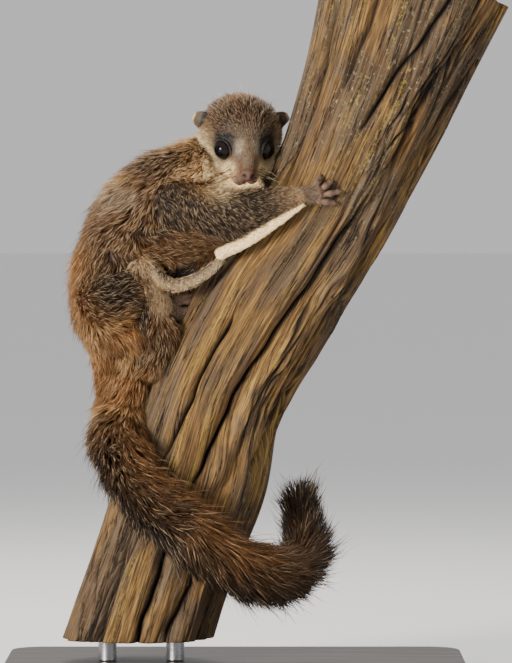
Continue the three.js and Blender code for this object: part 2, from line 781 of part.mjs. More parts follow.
// One lock of the tail, from a place and turn on its core out to the tips of the coat. Past the end of
// the core it runs straight on and closes in to a point.
function tailLock(tail, { start, turn, length, drift, reach, width, rise }) {
  const shape = [
    { step: 0, out: 0, wide: 0.55, thick: 1 },
    { step: 0.36, out: rise, wide: 1, thick: 0.9 },
    { step: 0.74, out: 0.5 + rise / 2, wide: 0.7, thick: 0.6 },
    { step: 1, out: 1, wide: 0, thick: 0 },
  ];
  const total = tail.line.getLength();
  const stations = shape.map(({ step, out, wide, thick }) => {
    const share = Math.min(0.9999, start + (length * step) / total);
    const beyond = Math.max(0, start * total + length * step - total);
    const station = stationOf(tail, tail.line.getUtoTmapping(share), away);
    const angle = turn + drift * step;
    const outward = station.across.clone().multiplyScalar(Math.cos(angle))
      .addScaledVector(station.deep, Math.sin(angle));
    const around = station.across.clone().multiplyScalar(-Math.sin(angle))
      .addScaledVector(station.deep, Math.cos(angle));
    const base = station.halfAcross * tailCoreShare - lockSink;
    const radius = base + (station.halfAcross * reach - base) * out;
    const closing = 1 - Math.min(0.75, beyond / 30);
    const middle = station.middle.clone().addScaledVector(outward, radius * closing)
      .addScaledVector(station.along, beyond);
    const halfWidth = (width / 2) * wide * station.halfAcross;
    return { middle, across: around, out: outward, halfWidth, thickness: lockThickness * thick };
  });
  return solidOf(lockGeometry(stations.slice(0, -1), stations.at(-1).middle));
}

// Tail: a slim core with rows of overlapping locks
function wholeTail() {
  const draw = drawFrom(tailSeed);
  const tail = courseOf(tailCourse);
  const core = loft(
    tailCourse.map(({ at, reach }) => ({ at, reach: reach * tailCoreShare })),
    { rings: 26, sides: 10, endCap: 4 },
  );
  const locks = [];
  const rows = tailLengths * rowsPerLength;
  for (let row = 0; row < rows; row++) {
    const first = row % rowsPerLength === 0;
    const around = locksAround - Number(row >= rows - rowsPerLength);
    for (let number = 0; number < around; number++) {
      const place = number + (row % 2) / 2 + (draw() - 0.5) * 0.3;
      locks.push(tailLock(tail, {
        start: (row + 0.12 + 0.25 * draw() * Number(!first)) / rows,
        turn: (place / around) * 2 * Math.PI,
        length: lockLength * (0.88 + 0.3 * draw()),
        drift: (draw() - 0.5) * 0.4,
        reach: 0.92 + 0.14 * draw(),
        width: lockWidthShare * (0.85 + 0.3 * draw()),
        rise: first ? firstRowRise : lockRise,
      }));
    }
  }
  return wasm.Manifold.union([core, ...locks]);
}

// The tail parted into lengths by thin cuts square to its line, from the rump to the tip
function tailPieces() {
  const tail = courseOf(tailCourse);
  let rest = wholeTail();
  for (let number = 1; number < tailLengths; number++) {
    const station = stationOf(tail, tail.line.getUtoTmapping(number / tailLengths), away);
    const slab = new THREE.BoxGeometry(tailCutSize, tailCutSize, gap);
    slab.applyQuaternion(new THREE.Quaternion().setFromUnitVectors(upright, station.along));
    slab.translate(...station.middle.toArray());
    rest = rest.subtract(solidOf(slab));
  }
  const bodies = rest.decompose().sort((one, other) => other.volume() - one.volume()).slice(0, tailLengths);
  return Array.from({ length: tailLengths }, (_, number) => {
    const middle = tail.line.getPointAt((number + 0.5) / tailLengths);
    const offMiddle = (body) => {
      const { min, max } = body.boundingBox();
      return middle.distanceTo(new THREE.Vector3(...min).add(new THREE.Vector3(...max)).multiplyScalar(0.5));
    };
    return bodies.reduce((best, body) => (offMiddle(body) < offMiddle(best) ? body : best));
  });
}

// Materials
const finishes = {
  fur: { color: 0x7a5a3e, roughness: 0.9 },
  darkFur: { color: 0x4a382c, roughness: 0.9 },
  tailFur: { color: 0x6a4a30, roughness: 0.9 },
  paleFur: { color: 0xcdb48e, roughness: 0.9 },
  skin: { color: 0x9c7a74, roughness: 0.6 },
  nosePad: { color: 0xa87f76, roughness: 0.5 },
  eyeGloss: { color: 0x0a0808, roughness: 0.05 },
  wood: { color: 0x8c7350, roughness: 0.95 },
  standWood: { color: 0x2b2622, roughness: 0.5 },
  rodSteel: { color: 0x55565a, roughness: 0.4, metalness: 0.9 },
};

const group = new THREE.Group();

function place(name, solid, finish) {
  const mesh = new THREE.Mesh(geometryOf(solid), new THREE.MeshStandardMaterial(finishes[finish]));
  mesh.name = name;
  group.add(mesh);
}

const perchSolid = perch();
const perchGrown = perch(gap);
const torsoGrown = torso("whole", gap);
const headGrown = headForm(gap);
place("perch", perchSolid, "wood");
place("stand_base", standBase(), "standWood");
place("stand_rod_left", standRod(-1), "rodSteel");
place("stand_rod_right", standRod(1), "rodSteel");

place("head", cutClear(head(), [eye(1, gap), eye(-1, gap), perchGrown]), "fur");
place("eye_right", eye(-1), "eyeGloss");
place("eye_left", eye(1), "eyeGloss");
place("ear_right", cutClear(ear(-1), [headGrown]), "darkFur");
place("ear_left", cutClear(ear(1), [headGrown, perchGrown]), "darkFur");
place("nose", cutClear(nose(), [headGrown]), "nosePad");
place("neck", cutClear(torso("neck"), [headGrown]), "fur");
place("torso_chest", cutClear(torso("chest"), [headGrown, perchGrown]), "fur");
place("torso_loin", cutClear(torso("loin"), [perchGrown]), "fur");
place("torso_rump", cutClear(torso("rump"), [perchGrown]), "fur");

for (const [word, side] of [["right", -1], ["left", 1]]) {
  const upperArmGrown = upperArm(word, gap);
  const forearmGrown = forearm(word, gap);
  const thighGrown = thigh(word, gap);
  const shankGrown = shank(word, gap);
  const bodyGrown = [torsoGrown, headGrown, perchGrown];
  const limbsGrown = [upperArmGrown, forearmGrown, thighGrown, shankGrown];
  place(`upper_arm_${word}`, cutClear(upperArm(word), bodyGrown), "darkFur");
  place(`forearm_${word}`, cutClear(forearm(word), [...bodyGrown, upperArmGrown]), "darkFur");
  place(`hand_${word}`, cutClear(hand(word), [perchGrown, forearmGrown]), "skin");
  place(`thigh_${word}`, cutClear(thigh(word), bodyGrown), "darkFur");
  place(`shank_${word}`, cutClear(shank(word), [...bodyGrown, thighGrown]), "fur");
  const foldGrown = flankFold(side, gap);
  place(`foot_${word}`, cutClear(foot(word), [...bodyGrown, thighGrown, shankGrown, foldGrown]), "skin");
  place(`membrane_flank_${word}`, cutClear(flankFold(side), [...bodyGrown, ...limbsGrown]), "paleFur");
  const flapNeighbours = [...bodyGrown, ...limbsGrown, foldGrown];
  place(`membrane_wrist_${word}`, cutClear(wristFlap(side), flapNeighbours), "paleFur");
}

tailPieces().forEach((length, number) => {
  place(`tail_${number + 1}`, cutClear(length, [torsoGrown, perchGrown]), "tailFur");
});

export default group;
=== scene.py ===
import math

import bpy
import numpy as np
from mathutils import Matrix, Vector
from mathutils.bvhtree import BVHTree
from mathutils.kdtree import KDTree


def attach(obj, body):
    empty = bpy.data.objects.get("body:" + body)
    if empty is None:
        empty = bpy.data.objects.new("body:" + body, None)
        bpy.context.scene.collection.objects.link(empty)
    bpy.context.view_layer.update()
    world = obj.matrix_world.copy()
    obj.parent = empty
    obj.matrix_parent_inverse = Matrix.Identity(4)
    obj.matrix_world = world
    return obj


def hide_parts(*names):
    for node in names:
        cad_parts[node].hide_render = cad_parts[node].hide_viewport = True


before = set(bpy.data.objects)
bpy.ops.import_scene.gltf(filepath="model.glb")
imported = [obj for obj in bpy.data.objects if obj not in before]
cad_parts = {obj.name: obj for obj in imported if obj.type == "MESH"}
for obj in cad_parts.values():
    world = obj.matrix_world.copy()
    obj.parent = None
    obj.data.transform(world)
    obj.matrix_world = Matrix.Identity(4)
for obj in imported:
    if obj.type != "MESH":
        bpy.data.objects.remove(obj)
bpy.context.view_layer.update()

mm = 0.001                         # every size below is in millimetres, and meshes are made in metres
dice = np.random.default_rng(41)   # one seeded draw for the whole script, so each run is alike


# Camera, floor and light
view = {
    "middle": (13.65, 0, 226.5),   # what the frame is centred on
    "frameHeight": 431,            # how much of the object's plane the frame takes in
    "distance": 3000,
    "elevation": 1.5,
    "sensor": 36,
}

studio = {
    "floorSize": 60000,
    "floorTone": (0.88, 0.87, 0.86),
    "skyTone": (0.85, 0.85, 0.86),
    "skyPower": 0.72,
    "lamps": {
        "keyLamp": {"at": (-1050, -1200, 480), "size": 420, "power": 52, "tone": (1, 0.94, 0.86)},
        "fillLamp": {"at": (1300, -900, 500), "size": 900, "power": 3, "tone": (0.9, 0.95, 1)},
        "topLamp": {"at": (-200, 700, 1300), "size": 700, "power": 16, "tone": (1, 0.98, 0.95)},
    },
}


def makeCamera():
    data = bpy.data.cameras.new("camera")
    camera = linked("camera", data)
    rise = math.radians(view["elevation"])
    middle = Vector(view["middle"]) * mm
    away = Vector((0, -math.cos(rise), math.sin(rise)))
    camera.location = middle + away * view["distance"] * mm
    camera.rotation_euler = (-away).to_track_quat("-Z", "Y").to_euler()
    data.sensor_width = view["sensor"]
    data.lens = view["sensor"] * view["distance"] / view["frameHeight"]
    data.clip_end = 200
    bpy.context.scene.camera = camera


def makeStage():
    size = studio["floorSize"] * mm / 2
    corners = [(-size, -size, 0), (size, -size, 0), (size, size, 0), (-size, size, 0)]
    floor = newObject("floor", corners, [(0, 1, 2, 3)])
    paint = newMaterial("paleFloor", {"Base Color": (*studio["floorTone"], 1), "Roughness": 0.7})[0]
    floor.data.materials.append(paint)
    world = bpy.data.worlds.new("studio")
    world.use_nodes = True
    sky = world.node_tree.nodes["Background"]
    sky.inputs["Color"].default_value = (*studio["skyTone"], 1)
    sky.inputs["Strength"].default_value = studio["skyPower"]
    bpy.context.scene.world = world
    for name, lamp in studio["lamps"].items():
        data = bpy.data.lights.new(name, "AREA")
        data.size = lamp["size"] * mm
        data.energy = lamp["power"]
        data.color = lamp["tone"]
        light = linked(name, data)
        light.location = Vector(lamp["at"]) * mm
        aim = Vector(view["middle"]) * mm - light.location
        light.rotation_euler = aim.to_track_quat("-Z", "Y").to_euler()


# Making meshes from arrays
def linked(name, data):
    made = bpy.data.objects.new(name, data)
    bpy.context.scene.collection.objects.link(made)
    return made


def newObject(name, points, faces):
    data = bpy.data.meshes.new(name)
    data.from_pydata([tuple(point) for point in points], [], [tuple(face) for face in faces])
    data.update()
    return linked(name, data)


def bigObject(name, points, triangles):
    data = bpy.data.meshes.new(name)
    data.vertices.add(len(points))
    data.vertices.foreach_set("co", np.ascontiguousarray(points, np.float32).ravel())
    data.loops.add(len(triangles) * 3)
    data.loops.foreach_set("vertex_index", np.ascontiguousarray(triangles, np.int32).ravel())
    data.polygons.add(len(triangles))
    data.polygons.foreach_set("loop_start", np.arange(0, len(triangles) * 3, 3, dtype=np.int32))
    data.update(calc_edges=True)
    data.shade_smooth()
    return linked(name, data)


pointFields = {"FLOAT": "value", "FLOAT_COLOR": "color", "FLOAT_VECTOR": "vector"}


def putOnPoints(obj, name, values, kind="FLOAT"):
    layer = obj.data.attributes.new(name, kind, "POINT")
    if kind == "FLOAT_COLOR":
        values = np.concatenate([values, np.ones((len(values), 1))], axis=1)
    layer.data.foreach_set(pointFields[kind], np.ascontiguousarray(values, np.float32).ravel())


def rowsOf(items, field, kind=np.float32):
    values = np.zeros(len(items) * 3, kind)
    items.foreach_get(field, values)
    return values.reshape(-1, 3)


def pointsOf(obj):
    return rowsOf(obj.data.vertices, "co").astype(float)


def normalsOf(obj):
    return rowsOf(obj.data.vertex_normals, "vector").astype(float)


def trianglesOf(obj):
    obj.data.calc_loop_triangles()
    return rowsOf(obj.data.loop_triangles, "vertices", np.int32)


def setPoints(obj, points):
    obj.data.vertices.foreach_set("co", np.ascontiguousarray(points, np.float32).ravel())
    obj.data.update()


def unit(rows):
    return rows / np.maximum(np.linalg.norm(rows, axis=-1, keepdims=True), 1e-9)


# A rise from 0 to 1 over a width
def ramp(values, start, width):
    return np.clip((values - start) / width, 0, 1)


# A hump of height 1 at no distance, nearly gone at twice its width
def bell(off, width):
    return np.exp(-((off / width) ** 2))


# Even steps round a circle, in radians
def turnsRound(count):
    return np.arange(count) / count * 2 * math.pi


# Samples of a smooth line through rows of numbers, whose first three are a place
def smoothLine(rows, count):
    rows = np.array(rows, float)
    padded = np.vstack([2 * rows[0] - rows[1], rows, 2 * rows[-1] - rows[-2]])
    knots = np.concatenate([[0], np.cumsum(np.linalg.norm(np.diff(padded[:, :3], axis=0), axis=1) ** 0.5)])
    place = np.linspace(0, len(rows) - 1, count)
    segment = np.minimum(place.astype(int), len(rows) - 2)
    local = (place - segment)[:, None]
    before, here, there, after = (padded[segment + step] for step in range(4))
    t0, t1, t2, t3 = (knots[segment + step][:, None] for step in range(4))
    span = t2 - t1
    leaving = span * ((here - before) / (t1 - t0) - (there - before) / (t2 - t0)) + there - here
    arriving = span * ((after - there) / (t3 - t2) - (after - here) / (t3 - t1)) + there - here
    cube, square = local**3, local**2
    return (
        (2 * cube - 3 * square + 1) * here + (cube - 2 * square + local) * leaving
        + (3 * square - 2 * cube) * there + (cube - square) * arriving
    )


# A smooth line through rows, with the directions along it, deep and across at each sample
def framesAlong(rows, count, reference=(0, 1, 0), facing=None):
    line = smoothLine(rows, count)
    middle = line[:, :3]
    along = unit(np.gradient(middle, axis=0)) if facing is None else np.tile(facing, (count, 1))
    reference = np.array(reference, float)
    deep = unit(reference - along * (along @ reference)[:, None])
    return line, middle, along, deep, np.cross(deep, along)


thinnest = 0.6   # half-width that no ring goes below


# Rings round a smooth line: rows hold a place, then the half-widths across and deep
def ringsRound(rows, count, sides, thinner=0, **options):
    line, middle, along, deep, across = framesAlong(rows, count, **options)
    turn = turnsRound(sides)
    wide = np.maximum(line[:, 3] - thinner, thinnest)[:, None, None] * np.cos(turn)[None, :, None]
    tall = np.maximum(line[:, 4] - thinner, thinnest)[:, None, None] * np.sin(turn)[None, :, None]
    return middle[:, None, :] + across[:, None, :] * wide + deep[:, None, :] * tall, middle, along


# Rings with round ends of the given lengths, closed by a point at each end
def roundEnds(rings, middle, along, caps, turns):
    loops = [rings]
    for end, cap, sign in ((0, caps[0], -1), (-1, caps[1], 1)):
        if cap > 0:
            spokes = rings[end] - middle[end]
            extra = np.array([
                middle[end] + spokes * math.cos(turn) + along[end] * sign * cap * math.sin(turn)
                for turn in np.radians(turns)
            ])
            loops = [extra[::-1], *loops] if end == 0 else [*loops, extra]
    tips = [middle[0] - along[0] * caps[0], middle[-1] + along[-1] * caps[1]]
    return gridTube(np.concatenate(loops), tips)


def tube(rows, count, sides, caps=(0, 0), **options):
    return roundEnds(*ringsRound(rows, count, sides, **options), caps, (20, 40, 60, 80))


# Points and faces of rings closed by a point at each end
def gridTube(grid, tips):
    ringCount, sides = grid.shape[:2]
    ring, side = np.meshgrid(np.arange(ringCount - 1), np.arange(sides), indexing="ij")
    here = ring * sides + side
    beside = ring * sides + (side + 1) % sides
    faces = np.stack([here, beside, beside + sides, here + sides], -1).reshape(-1, 4)
    first, last = ringCount * sides, ringCount * sides + 1
    edge = np.arange(sides)
    nextEdge = (edge + 1) % sides
    top = (ringCount - 1) * sides
    edges = list(zip(edge, nextEdge))
    caps = [(first, b, a) for a, b in edges] + [(last, top + a, top + b) for a, b in edges]
    points = np.concatenate([grid.reshape(-1, 3), np.array(tips)])
    return points, [tuple(face) for face in faces] + caps


# A ball stretched along three directions
def ball(centre, halfSizes, basis=None, across=28, high=16):
    turn = turnsRound(across)
    rise = np.linspace(math.pi / 2, -math.pi / 2, high + 1)[1:-1]
    grid = np.stack([
        np.cos(rise)[:, None] * np.cos(turn), np.cos(rise)[:, None] * np.sin(turn),
        np.sin(rise)[:, None] * np.ones(across),
    ], -1)
    basis = np.eye(3) if basis is None else np.array(basis)
    place = lambda points: np.array(centre) + (points * np.array(halfSizes)) @ basis
    return gridTube(place(grid)[::-1], [place(np.array([0, 0, -1.0])), place(np.array([0, 0, 1.0]))])


# Points and faces of several forms as one
def joined(forms):
    points, faces = [], []
    for formPoints, formFaces in forms:
        start = sum(len(part) for part in points)
        points.append(np.array(formPoints))
        faces += [tuple(int(corner) + start for corner in face) for face in formFaces]
    return np.concatenate(points), faces


fineness = {"body": (1.15, 9), "head": (0.6, 7), "paw": (0.42, 3)}   # voxel in mm, steps of smoothing


# One surface from several closed forms, by a voxel remesh that is smoothed
def fused(name, forms, kind):
    voxel, smoothing = fineness[kind]
    points, faces = joined(forms)
    made = newObject(name, points * mm, faces)
    remesh = made.modifiers.new("remesh", "REMESH")
    remesh.mode = "VOXEL"
    remesh.voxel_size = voxel * mm
    smooth = made.modifiers.new("smooth", "SMOOTH")
    smooth.factor = 0.5
    smooth.iterations = smoothing
    graph = bpy.context.evaluated_depsgraph_get()
    data = bpy.data.meshes.new_from_object(made.evaluated_get(graph), depsgraph=graph)
    made.modifiers.clear()
    made.data = data
    return made


# Materials
class Painter:
    # Puts nodes into one tree and joins their sockets
    def __init__(self, tree):
        self.tree = tree

    # Joins sockets to a node's inputs, or sets constants on them
    def feed(self, node, values):
        for key, value in values.items():
            if isinstance(value, bpy.types.NodeSocket):
                self.tree.links.new(value, node.inputs[key])
            else:
                node.inputs[key].default_value = value
        return node

    def node(self, kind, values=None, **settings):
        made = self.tree.nodes.new(kind)
        for key, value in settings.items():
            setattr(made, key, value)
        return self.feed(made, values or {})

    def attribute(self, name, output="Fac"):
        return self.node("ShaderNodeAttribute", attribute_name=name).outputs[output]

    def objectPlace(self):
        return self.node("ShaderNodeTexCoord").outputs["Object"]

    def mix(self, share, first, second, blend="MIX"):
        made = self.node("ShaderNodeMix", data_type="RGBA", blend_type=blend, clamp_factor=True)
        first, second = (
            tone if isinstance(tone, bpy.types.NodeSocket) else (*tone, 1) for tone in (first, second)
        )
        return self.feed(made, {0: share, 6: first, 7: second}).outputs[2]

    def math(self, operation, first, second=0.0, third=0.0):
        values = {0: first, 1: second, 2: third}
        return self.node("ShaderNodeMath", values, operation=operation).outputs[0]

    def times(self, first, second):
        return self.math("MULTIPLY", first, second)

    def span(self, value, fromLow, fromHigh, toLow=0.0, toHigh=1.0):
        return self.node("ShaderNodeMapRange", {
            "Value": value, "From Min": fromLow, "From Max": fromHigh, "To Min": toLow, "To Max": toHigh,
        }).outputs[0]

    def stretched(self, place, scale):
        return self.node("ShaderNodeMapping", {"Vector": place, "Scale": scale}).outputs[0]

    # Noise at one scale, or stretched by three
    def noise(self, place, scale, detail=3.0, roughness=0.55):
        if isinstance(scale, tuple):
            place, scale = self.stretched(place, scale), 1.0
        return self.node("ShaderNodeTexNoise", {
            "Vector": place, "Scale": scale, "Detail": detail, "Roughness": roughness,
        }).outputs["Fac"]

    def bump(self, shader, height, strength, distance):
        made = self.node("ShaderNodeBump", {"Height": height, "Strength": strength, "Distance": distance})
        self.feed(shader, {"Normal": made.outputs[0]})


def newMaterial(name, constants):
    material = bpy.data.materials.new(name)
    material.use_nodes = True
    painter = Painter(material.node_tree)
    shader = painter.feed(material.node_tree.nodes["Principled BSDF"], constants)
    return material, painter, shader


# An uneven wave between about -1 and 1, from a few sine waves with seeded directions
def unevenness(seed, count, *axes):
    draw = np.random.default_rng(seed)
    total = 0
    for _ in range(count):
        phase = draw.uniform(0, 2 * math.pi)
        total = total + np.sin(sum(axis * draw.uniform(-1, 1) for axis in axes) + phase)
    return total / math.sqrt(count)


# Trunk: a weathered, barkless length of dead wood
trunk = {
    "course": [
        (-79, 0, -20, 47, 42), (-63, 0, 30, 46, 42), (-45, 0, 84, 45.5, 42), (-27, 0, 132, 47.5, 43),
        (-12, 0, 184, 44, 40), (20.5, 0, 247, 45.5, 40), (59, 0, 308, 43, 40), (90, 0, 378, 49, 45),
        (119, 0, 458, 61, 55),
    ],
    "bottom": 27,
    "samples": 500,
    "rings": 260,
    "sides": 400,
    # cracks and ledges over places from 0 to 1, at turns in degrees from the right side, the viewer at 270
    "lines": [
        {"course": ((0.34, 269), (0.42, 277), (0.5, 285), (0.58, 292), (0.72, 297), (0.79, 300)),
         "depth": 9, "half": 12},
        {"course": ((0.36, 287), (0.44, 294), (0.52, 302), (0.6, 309), (0.68, 312)), "rise": 4, "half": 8},
        {"course": ((0.65, 321), (0.7, 315), (0.79, 318)), "rise": 4, "half": 8},
        {"course": ((0.39, 241), (0.44, 243), (0.49, 248), (0.61, 252)), "depth": 8, "half": 8},
        {"course": ((-0.15, 272), (0.12, 272), (0.24, 270), (0.31, 266)), "depth": 9, "half": 8},
        {"course": ((0.85, 240), (0.91, 246), (1.1, 258)), "depth": 4, "half": 7},
        {"course": ((0.82, 264), (0.89, 277), (0.93, 287), (1.1, 316)), "depth": 5, "half": 8},
        {"course": ((0.4, 315), (0.47, 331), (0.57, 342)), "depth": 5, "half": 8},
        {"course": ((0.12, 296), (0.22, 301), (0.33, 298)), "depth": 5, "half": 9},
        {"course": ((0.02, 240), (0.18, 236), (0.33, 228)), "depth": 4, "half": 8},
        {"course": ((0.8, 309), (0.88, 302), (0.97, 322)), "depth": 4, "half": 8},
        {"course": ((0.62, 340), (0.78, 333), (1.15, 345)), "depth": 5, "half": 8},
        {"course": ((-0.15, 326), (0.15, 333), (0.32, 327)), "depth": 6, "half": 9},
        {"course": ((0.2, 18), (0.45, 24), (0.7, 14)), "depth": 5, "half": 9},
        {"course": ((0.1, 62), (0.35, 55), (0.6, 63)), "depth": 6, "half": 9},
        {"course": ((0.5, 92), (0.75, 85), (1.15, 95)), "depth": 5, "half": 9},
        {"course": ((0.35, 128), (0.6, 136), (0.9, 126)), "depth": 6, "half": 9},
        {"course": ((-0.15, 158), (0.2, 165), (0.45, 160)), "depth": 5, "half": 9},
        {"course": ((0.1, 196), (0.35, 189), (0.6, 198)), "depth": 4, "half": 9},
        {"course": ((0.55, 214), (0.75, 222), (0.97, 212)), "depth": 4, "half": 9},
    ],
    "ribs": [(1.1, 7, 3, 0), (0.8, 12, -5, 1), (0.6, 5, -9, 2)],   # height, waves, drift, start
    "wander": [(1.1, 31, 0), (0.8, 67, 1), (0.4, 141, 2)],         # of the lines: degrees, waves, start
    "fibres": [(0.22, 3, 46, 15), (0.16, 4, 95, 24)],              # size, seed, waves round and along
    # places, turns and reaches of the most broken wood
    "broken": [(0.52, 322, 0.16, 30), (0.14, 226, 0.15, 36), (0.88, 316, 0.14, 34), (0.45, 100, 0.3, 40)],
    "smallCracks": {
        "count": 260, "nearBroken": 0.7, "length": (0.03, 0.2), "depth": (0.4, 1.2), "width": (0.45, 1.2),
    },
    "sawCut": {"rings": 22, "checkDepth": 1.6, "ridges": 0.12},
    # noises of its looks: scale across and along, detail and roughness
    "grain": {
        "fibre": ((0.85, 0.85, 0.03), 7, 0.68), "thread": ((2.4, 2.4, 0.05), 4, 0.6),
        "streak": ((0.16, 0.16, 0.009), 4, 0.6), "patch": ((0.045, 0.045, 0.014), 5, 0.62),
        "speck": ((0.5, 0.5, 0.4), 5, 0.7), "sliver": ((0.22, 0.22, 0.0085), 5, 0.6),
    },
    # the darkest tone is painted shade for the insides of cracks, splits, checks and fibre grooves
    "tones": {
        "ochre": (0.375, 0.222, 0.066), "tan": (0.24, 0.13, 0.043), "brown": (0.07, 0.038, 0.017),
        "grey": (0.118, 0.09, 0.062), "crack": (0.01, 0.006, 0.004), "lichen": (0.30, 0.29, 0.19),
        "moss": (0.28, 0.2, 0.03),
    },
}


def offTurn(turn, centre):
    return (turn - centre + 180) % 360 - 180


def brokenness(place, turn):
    broken = 0.16 + 0 * place
    for middle, centre, reach, spread in trunk["broken"]:
        broken = broken + np.exp(-(((place - middle) / reach) ** 2) - (offTurn(turn, centre) / spread) ** 2)
    return np.minimum(broken, 1)


# How far the wood stands out or in, and how much painted shade darkens its hollows
def trunkRelief(place, turn):
    angle = np.radians(turn)
    relief = np.zeros_like(place)
    for height, waves, drift, start in trunk["ribs"]:
        relief += height * np.sin(waves * angle + drift * place + start)
    hollowShade = np.zeros_like(relief)
    wander = sum(size * np.sin(place * waves + start) for size, waves, start in trunk["wander"])
    for line in trunk["lines"]:
        places, turns = zip(*line["course"])
        first, last = places[0], places[-1]
        along = ramp(place, first, last - first)
        ends = ramp(place, first, 0.025) * np.clip((last - place) / 0.025, 0, 1)
        length = np.minimum(1, 1.6 * np.sin(math.pi * along) + 0.25) * ends
        off = np.abs(offTurn(turn, np.interp(place, places, turns) + wander))
        broad = np.clip(1 - off / line["half"], 0, 1)
        if "rise" in line:
            ragged = 1 + 0.35 * unevenness(int(line["half"]), 7, angle * 40, place * 60)
            relief += line["rise"] * length * broad**0.8 * np.clip(ragged, 0.2, 1.6)
        else:
            slot = bell(off, 1.7)
            relief -= line["depth"] * length * (0.78 * broad**1.15 + 0.5 * slot)
            hollowShade = np.maximum(hollowShade, length * (0.3 * broad + 0.8 * slot) * min(1, line["depth"] / 6))
    draw = np.random.default_rng(9)
    cracks = trunk["smallCracks"]
    for _ in range(cracks["count"]):
        if draw.random() < cracks["nearBroken"]:
            spot = trunk["broken"][draw.integers(len(trunk["broken"]))]
            centre = draw.normal(spot[1], spot[3] * 0.75)
            start = draw.normal(spot[0], spot[2] * 0.8)
        else:
            centre, start = draw.uniform(0, 360), draw.uniform(0, 0.97)
        length = draw.uniform(*cracks["length"])
        start -= length / 2
        depth = draw.uniform(*cracks["depth"]) * (1 + 1.4 * float(brokenness(start, centre)))
        width = draw.uniform(*cracks["width"])
        bend, phase, lean = draw.uniform(0.3, 2), draw.uniform(0, 6.3), draw.normal(0, 7)
        along = ramp(place, start, length)
        off = offTurn(turn, centre + lean * (along - 0.5) + bend * np.sin(along * 7 + phase))
        shape = bell(off, width) * np.sin(math.pi * along) ** 0.6
        # one lip of a crack often stands a little proud of the other
        lip = bell(off - 2.2 * width, 1.5 * width) * np.sin(math.pi * along)
        relief += 0.3 * depth * lip - depth * shape
        hollowShade = np.maximum(hollowShade, shape * min(1, depth / 2))
    rough = brokenness(place, turn)
    fibres = sum(
        size * unevenness(seed, 9, angle * around, place * onward)
        for size, seed, around, onward in trunk["fibres"]
    )
    relief += fibres * (0.6 + 1.3 * rough)
    pits = np.clip(unevenness(5, 10, angle * 62, place * 75) - 0.55, 0, 1.2) * rough
    relief += 0.45 * rough * unevenness(6, 8, angle * 22, place * 40) - 1.5 * pits
    return relief, np.clip(np.maximum(hollowShade, 0.6 * pits), 0, 1)


def makeTrunk():
    rings, sides, samples = trunk["rings"], trunk["sides"], trunk["samples"]
    plain, middle, along = ringsRound(trunk["course"], samples, sides)
    place = np.linspace(0, 1, samples)
    turn = np.degrees(turnsRound(sides))
    placeGrid, turnGrid = np.meshgrid(place, turn, indexing="ij")
    relief, hollowShade = trunkRelief(placeGrid, turnGrid)
    outward = unit(plain - middle[:, None, :])
    grid = plain + outward * relief[..., None]
    travelled = np.concatenate([[0], np.cumsum(np.linalg.norm(np.diff(middle, axis=0), axis=1))])
    # each column starts where it meets the flat cut at the bottom
    columns, places, hollows = [], [], []
    steps = np.arange(samples)
    for side in range(sides):
        column = grid[:, side]
        above = int(np.argmax(column[:, 2] > trunk["bottom"]))
        share = (trunk["bottom"] - column[above - 1, 2]) / (column[above, 2] - column[above - 1, 2])
        wanted = np.linspace(above - 1 + share, samples - 1, rings)
        columns.append(np.stack([np.interp(wanted, steps, column[:, axis]) for axis in range(3)], -1))
        distance = np.interp(wanted, steps, travelled)
        radius = np.linalg.norm(column - middle, axis=1).mean()
        angle = math.radians(turn[side])
        places.append(np.stack([
            np.full(rings, radius * math.cos(angle)), np.full(rings, radius * math.sin(angle)), distance,
        ], -1))
        hollows.append(np.interp(wanted, steps, hollowShade[:, side]))
    shell, flat, dark = (np.stack(part, 1) for part in (columns, places, hollows))
    shell[0, :, 2] = trunk["bottom"]
    points, straight, darkness = [shell.reshape(-1, 3)], [flat.reshape(-1, 3)], [dark.ravel()]
    ends = [np.zeros(shell.shape[:2]).ravel()]
    ring, side = np.meshgrid(np.arange(rings - 1), np.arange(sides), indexing="ij")
    here, beside = ring * sides + side, ring * sides + (side + 1) % sides
    corners = [np.stack([here, beside, beside + sides], -1).reshape(-1, 3)]
    corners.append(np.stack([here, beside + sides, here + sides], -1).reshape(-1, 3))
    start = rings * sides
    cut = trunk["sawCut"]
    for end, inward in ((0, np.array([0, 0, 1.0])), (rings - 1, -along[-1])):
        rim, heart = shell[end], shell[end].mean(0)
        previous = end * sides + np.arange(sides)
        for number in range(1, cut["rings"] + 1):
            share = 1 - number / (cut["rings"] + 0.5)
            check = np.clip(unevenness(12 + end, 6, np.radians(turn) * 5, share * 1.5) - 0.9, 0, 1)
            check = check * math.sin(math.pi * share)
            sunk = cut["checkDepth"] * check + cut["ridges"] * math.sin(share * 60)
            points.append(heart + (rim - heart) * share + inward * sunk[:, None])
            straight.append(flat[end] * np.array([share, share, 1]))
            # the checks of the cut get painted shade as well
            darkness.append(check)
            ends.append(np.ones(sides))
            current = start + np.arange(sides)
            quad = [previous, np.roll(previous, -1), np.roll(current, -1), current]
            if end == 0:
                quad = quad[::-1]
            corners.append(np.stack([quad[1], quad[2], quad[0]], -1))
            corners.append(np.stack([quad[2], quad[3], quad[0]], -1))
            previous, start = current, start + sides
        points.append(points[-1].mean(0)[None])
        straight.append(flat[end].mean(0)[None])
        darkness.append(np.zeros(1))
        ends.append(np.ones(1))
        fan = [previous, np.roll(previous, -1), np.full(sides, start)]
        corners.append(np.stack(fan if end else fan[::-1], -1))
        start += 1
    made = bigObject("trunk", np.concatenate(points) * mm, np.concatenate(corners))
    putOnPoints(made, "straightPlace", np.concatenate(straight), "FLOAT_VECTOR")
    putOnPoints(made, "hollowShade", np.concatenate(darkness))
    putOnPoints(made, "sawn", np.concatenate(ends))
    made.data.materials.append(deadWood())
    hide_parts("perch")
    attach(made, "root")


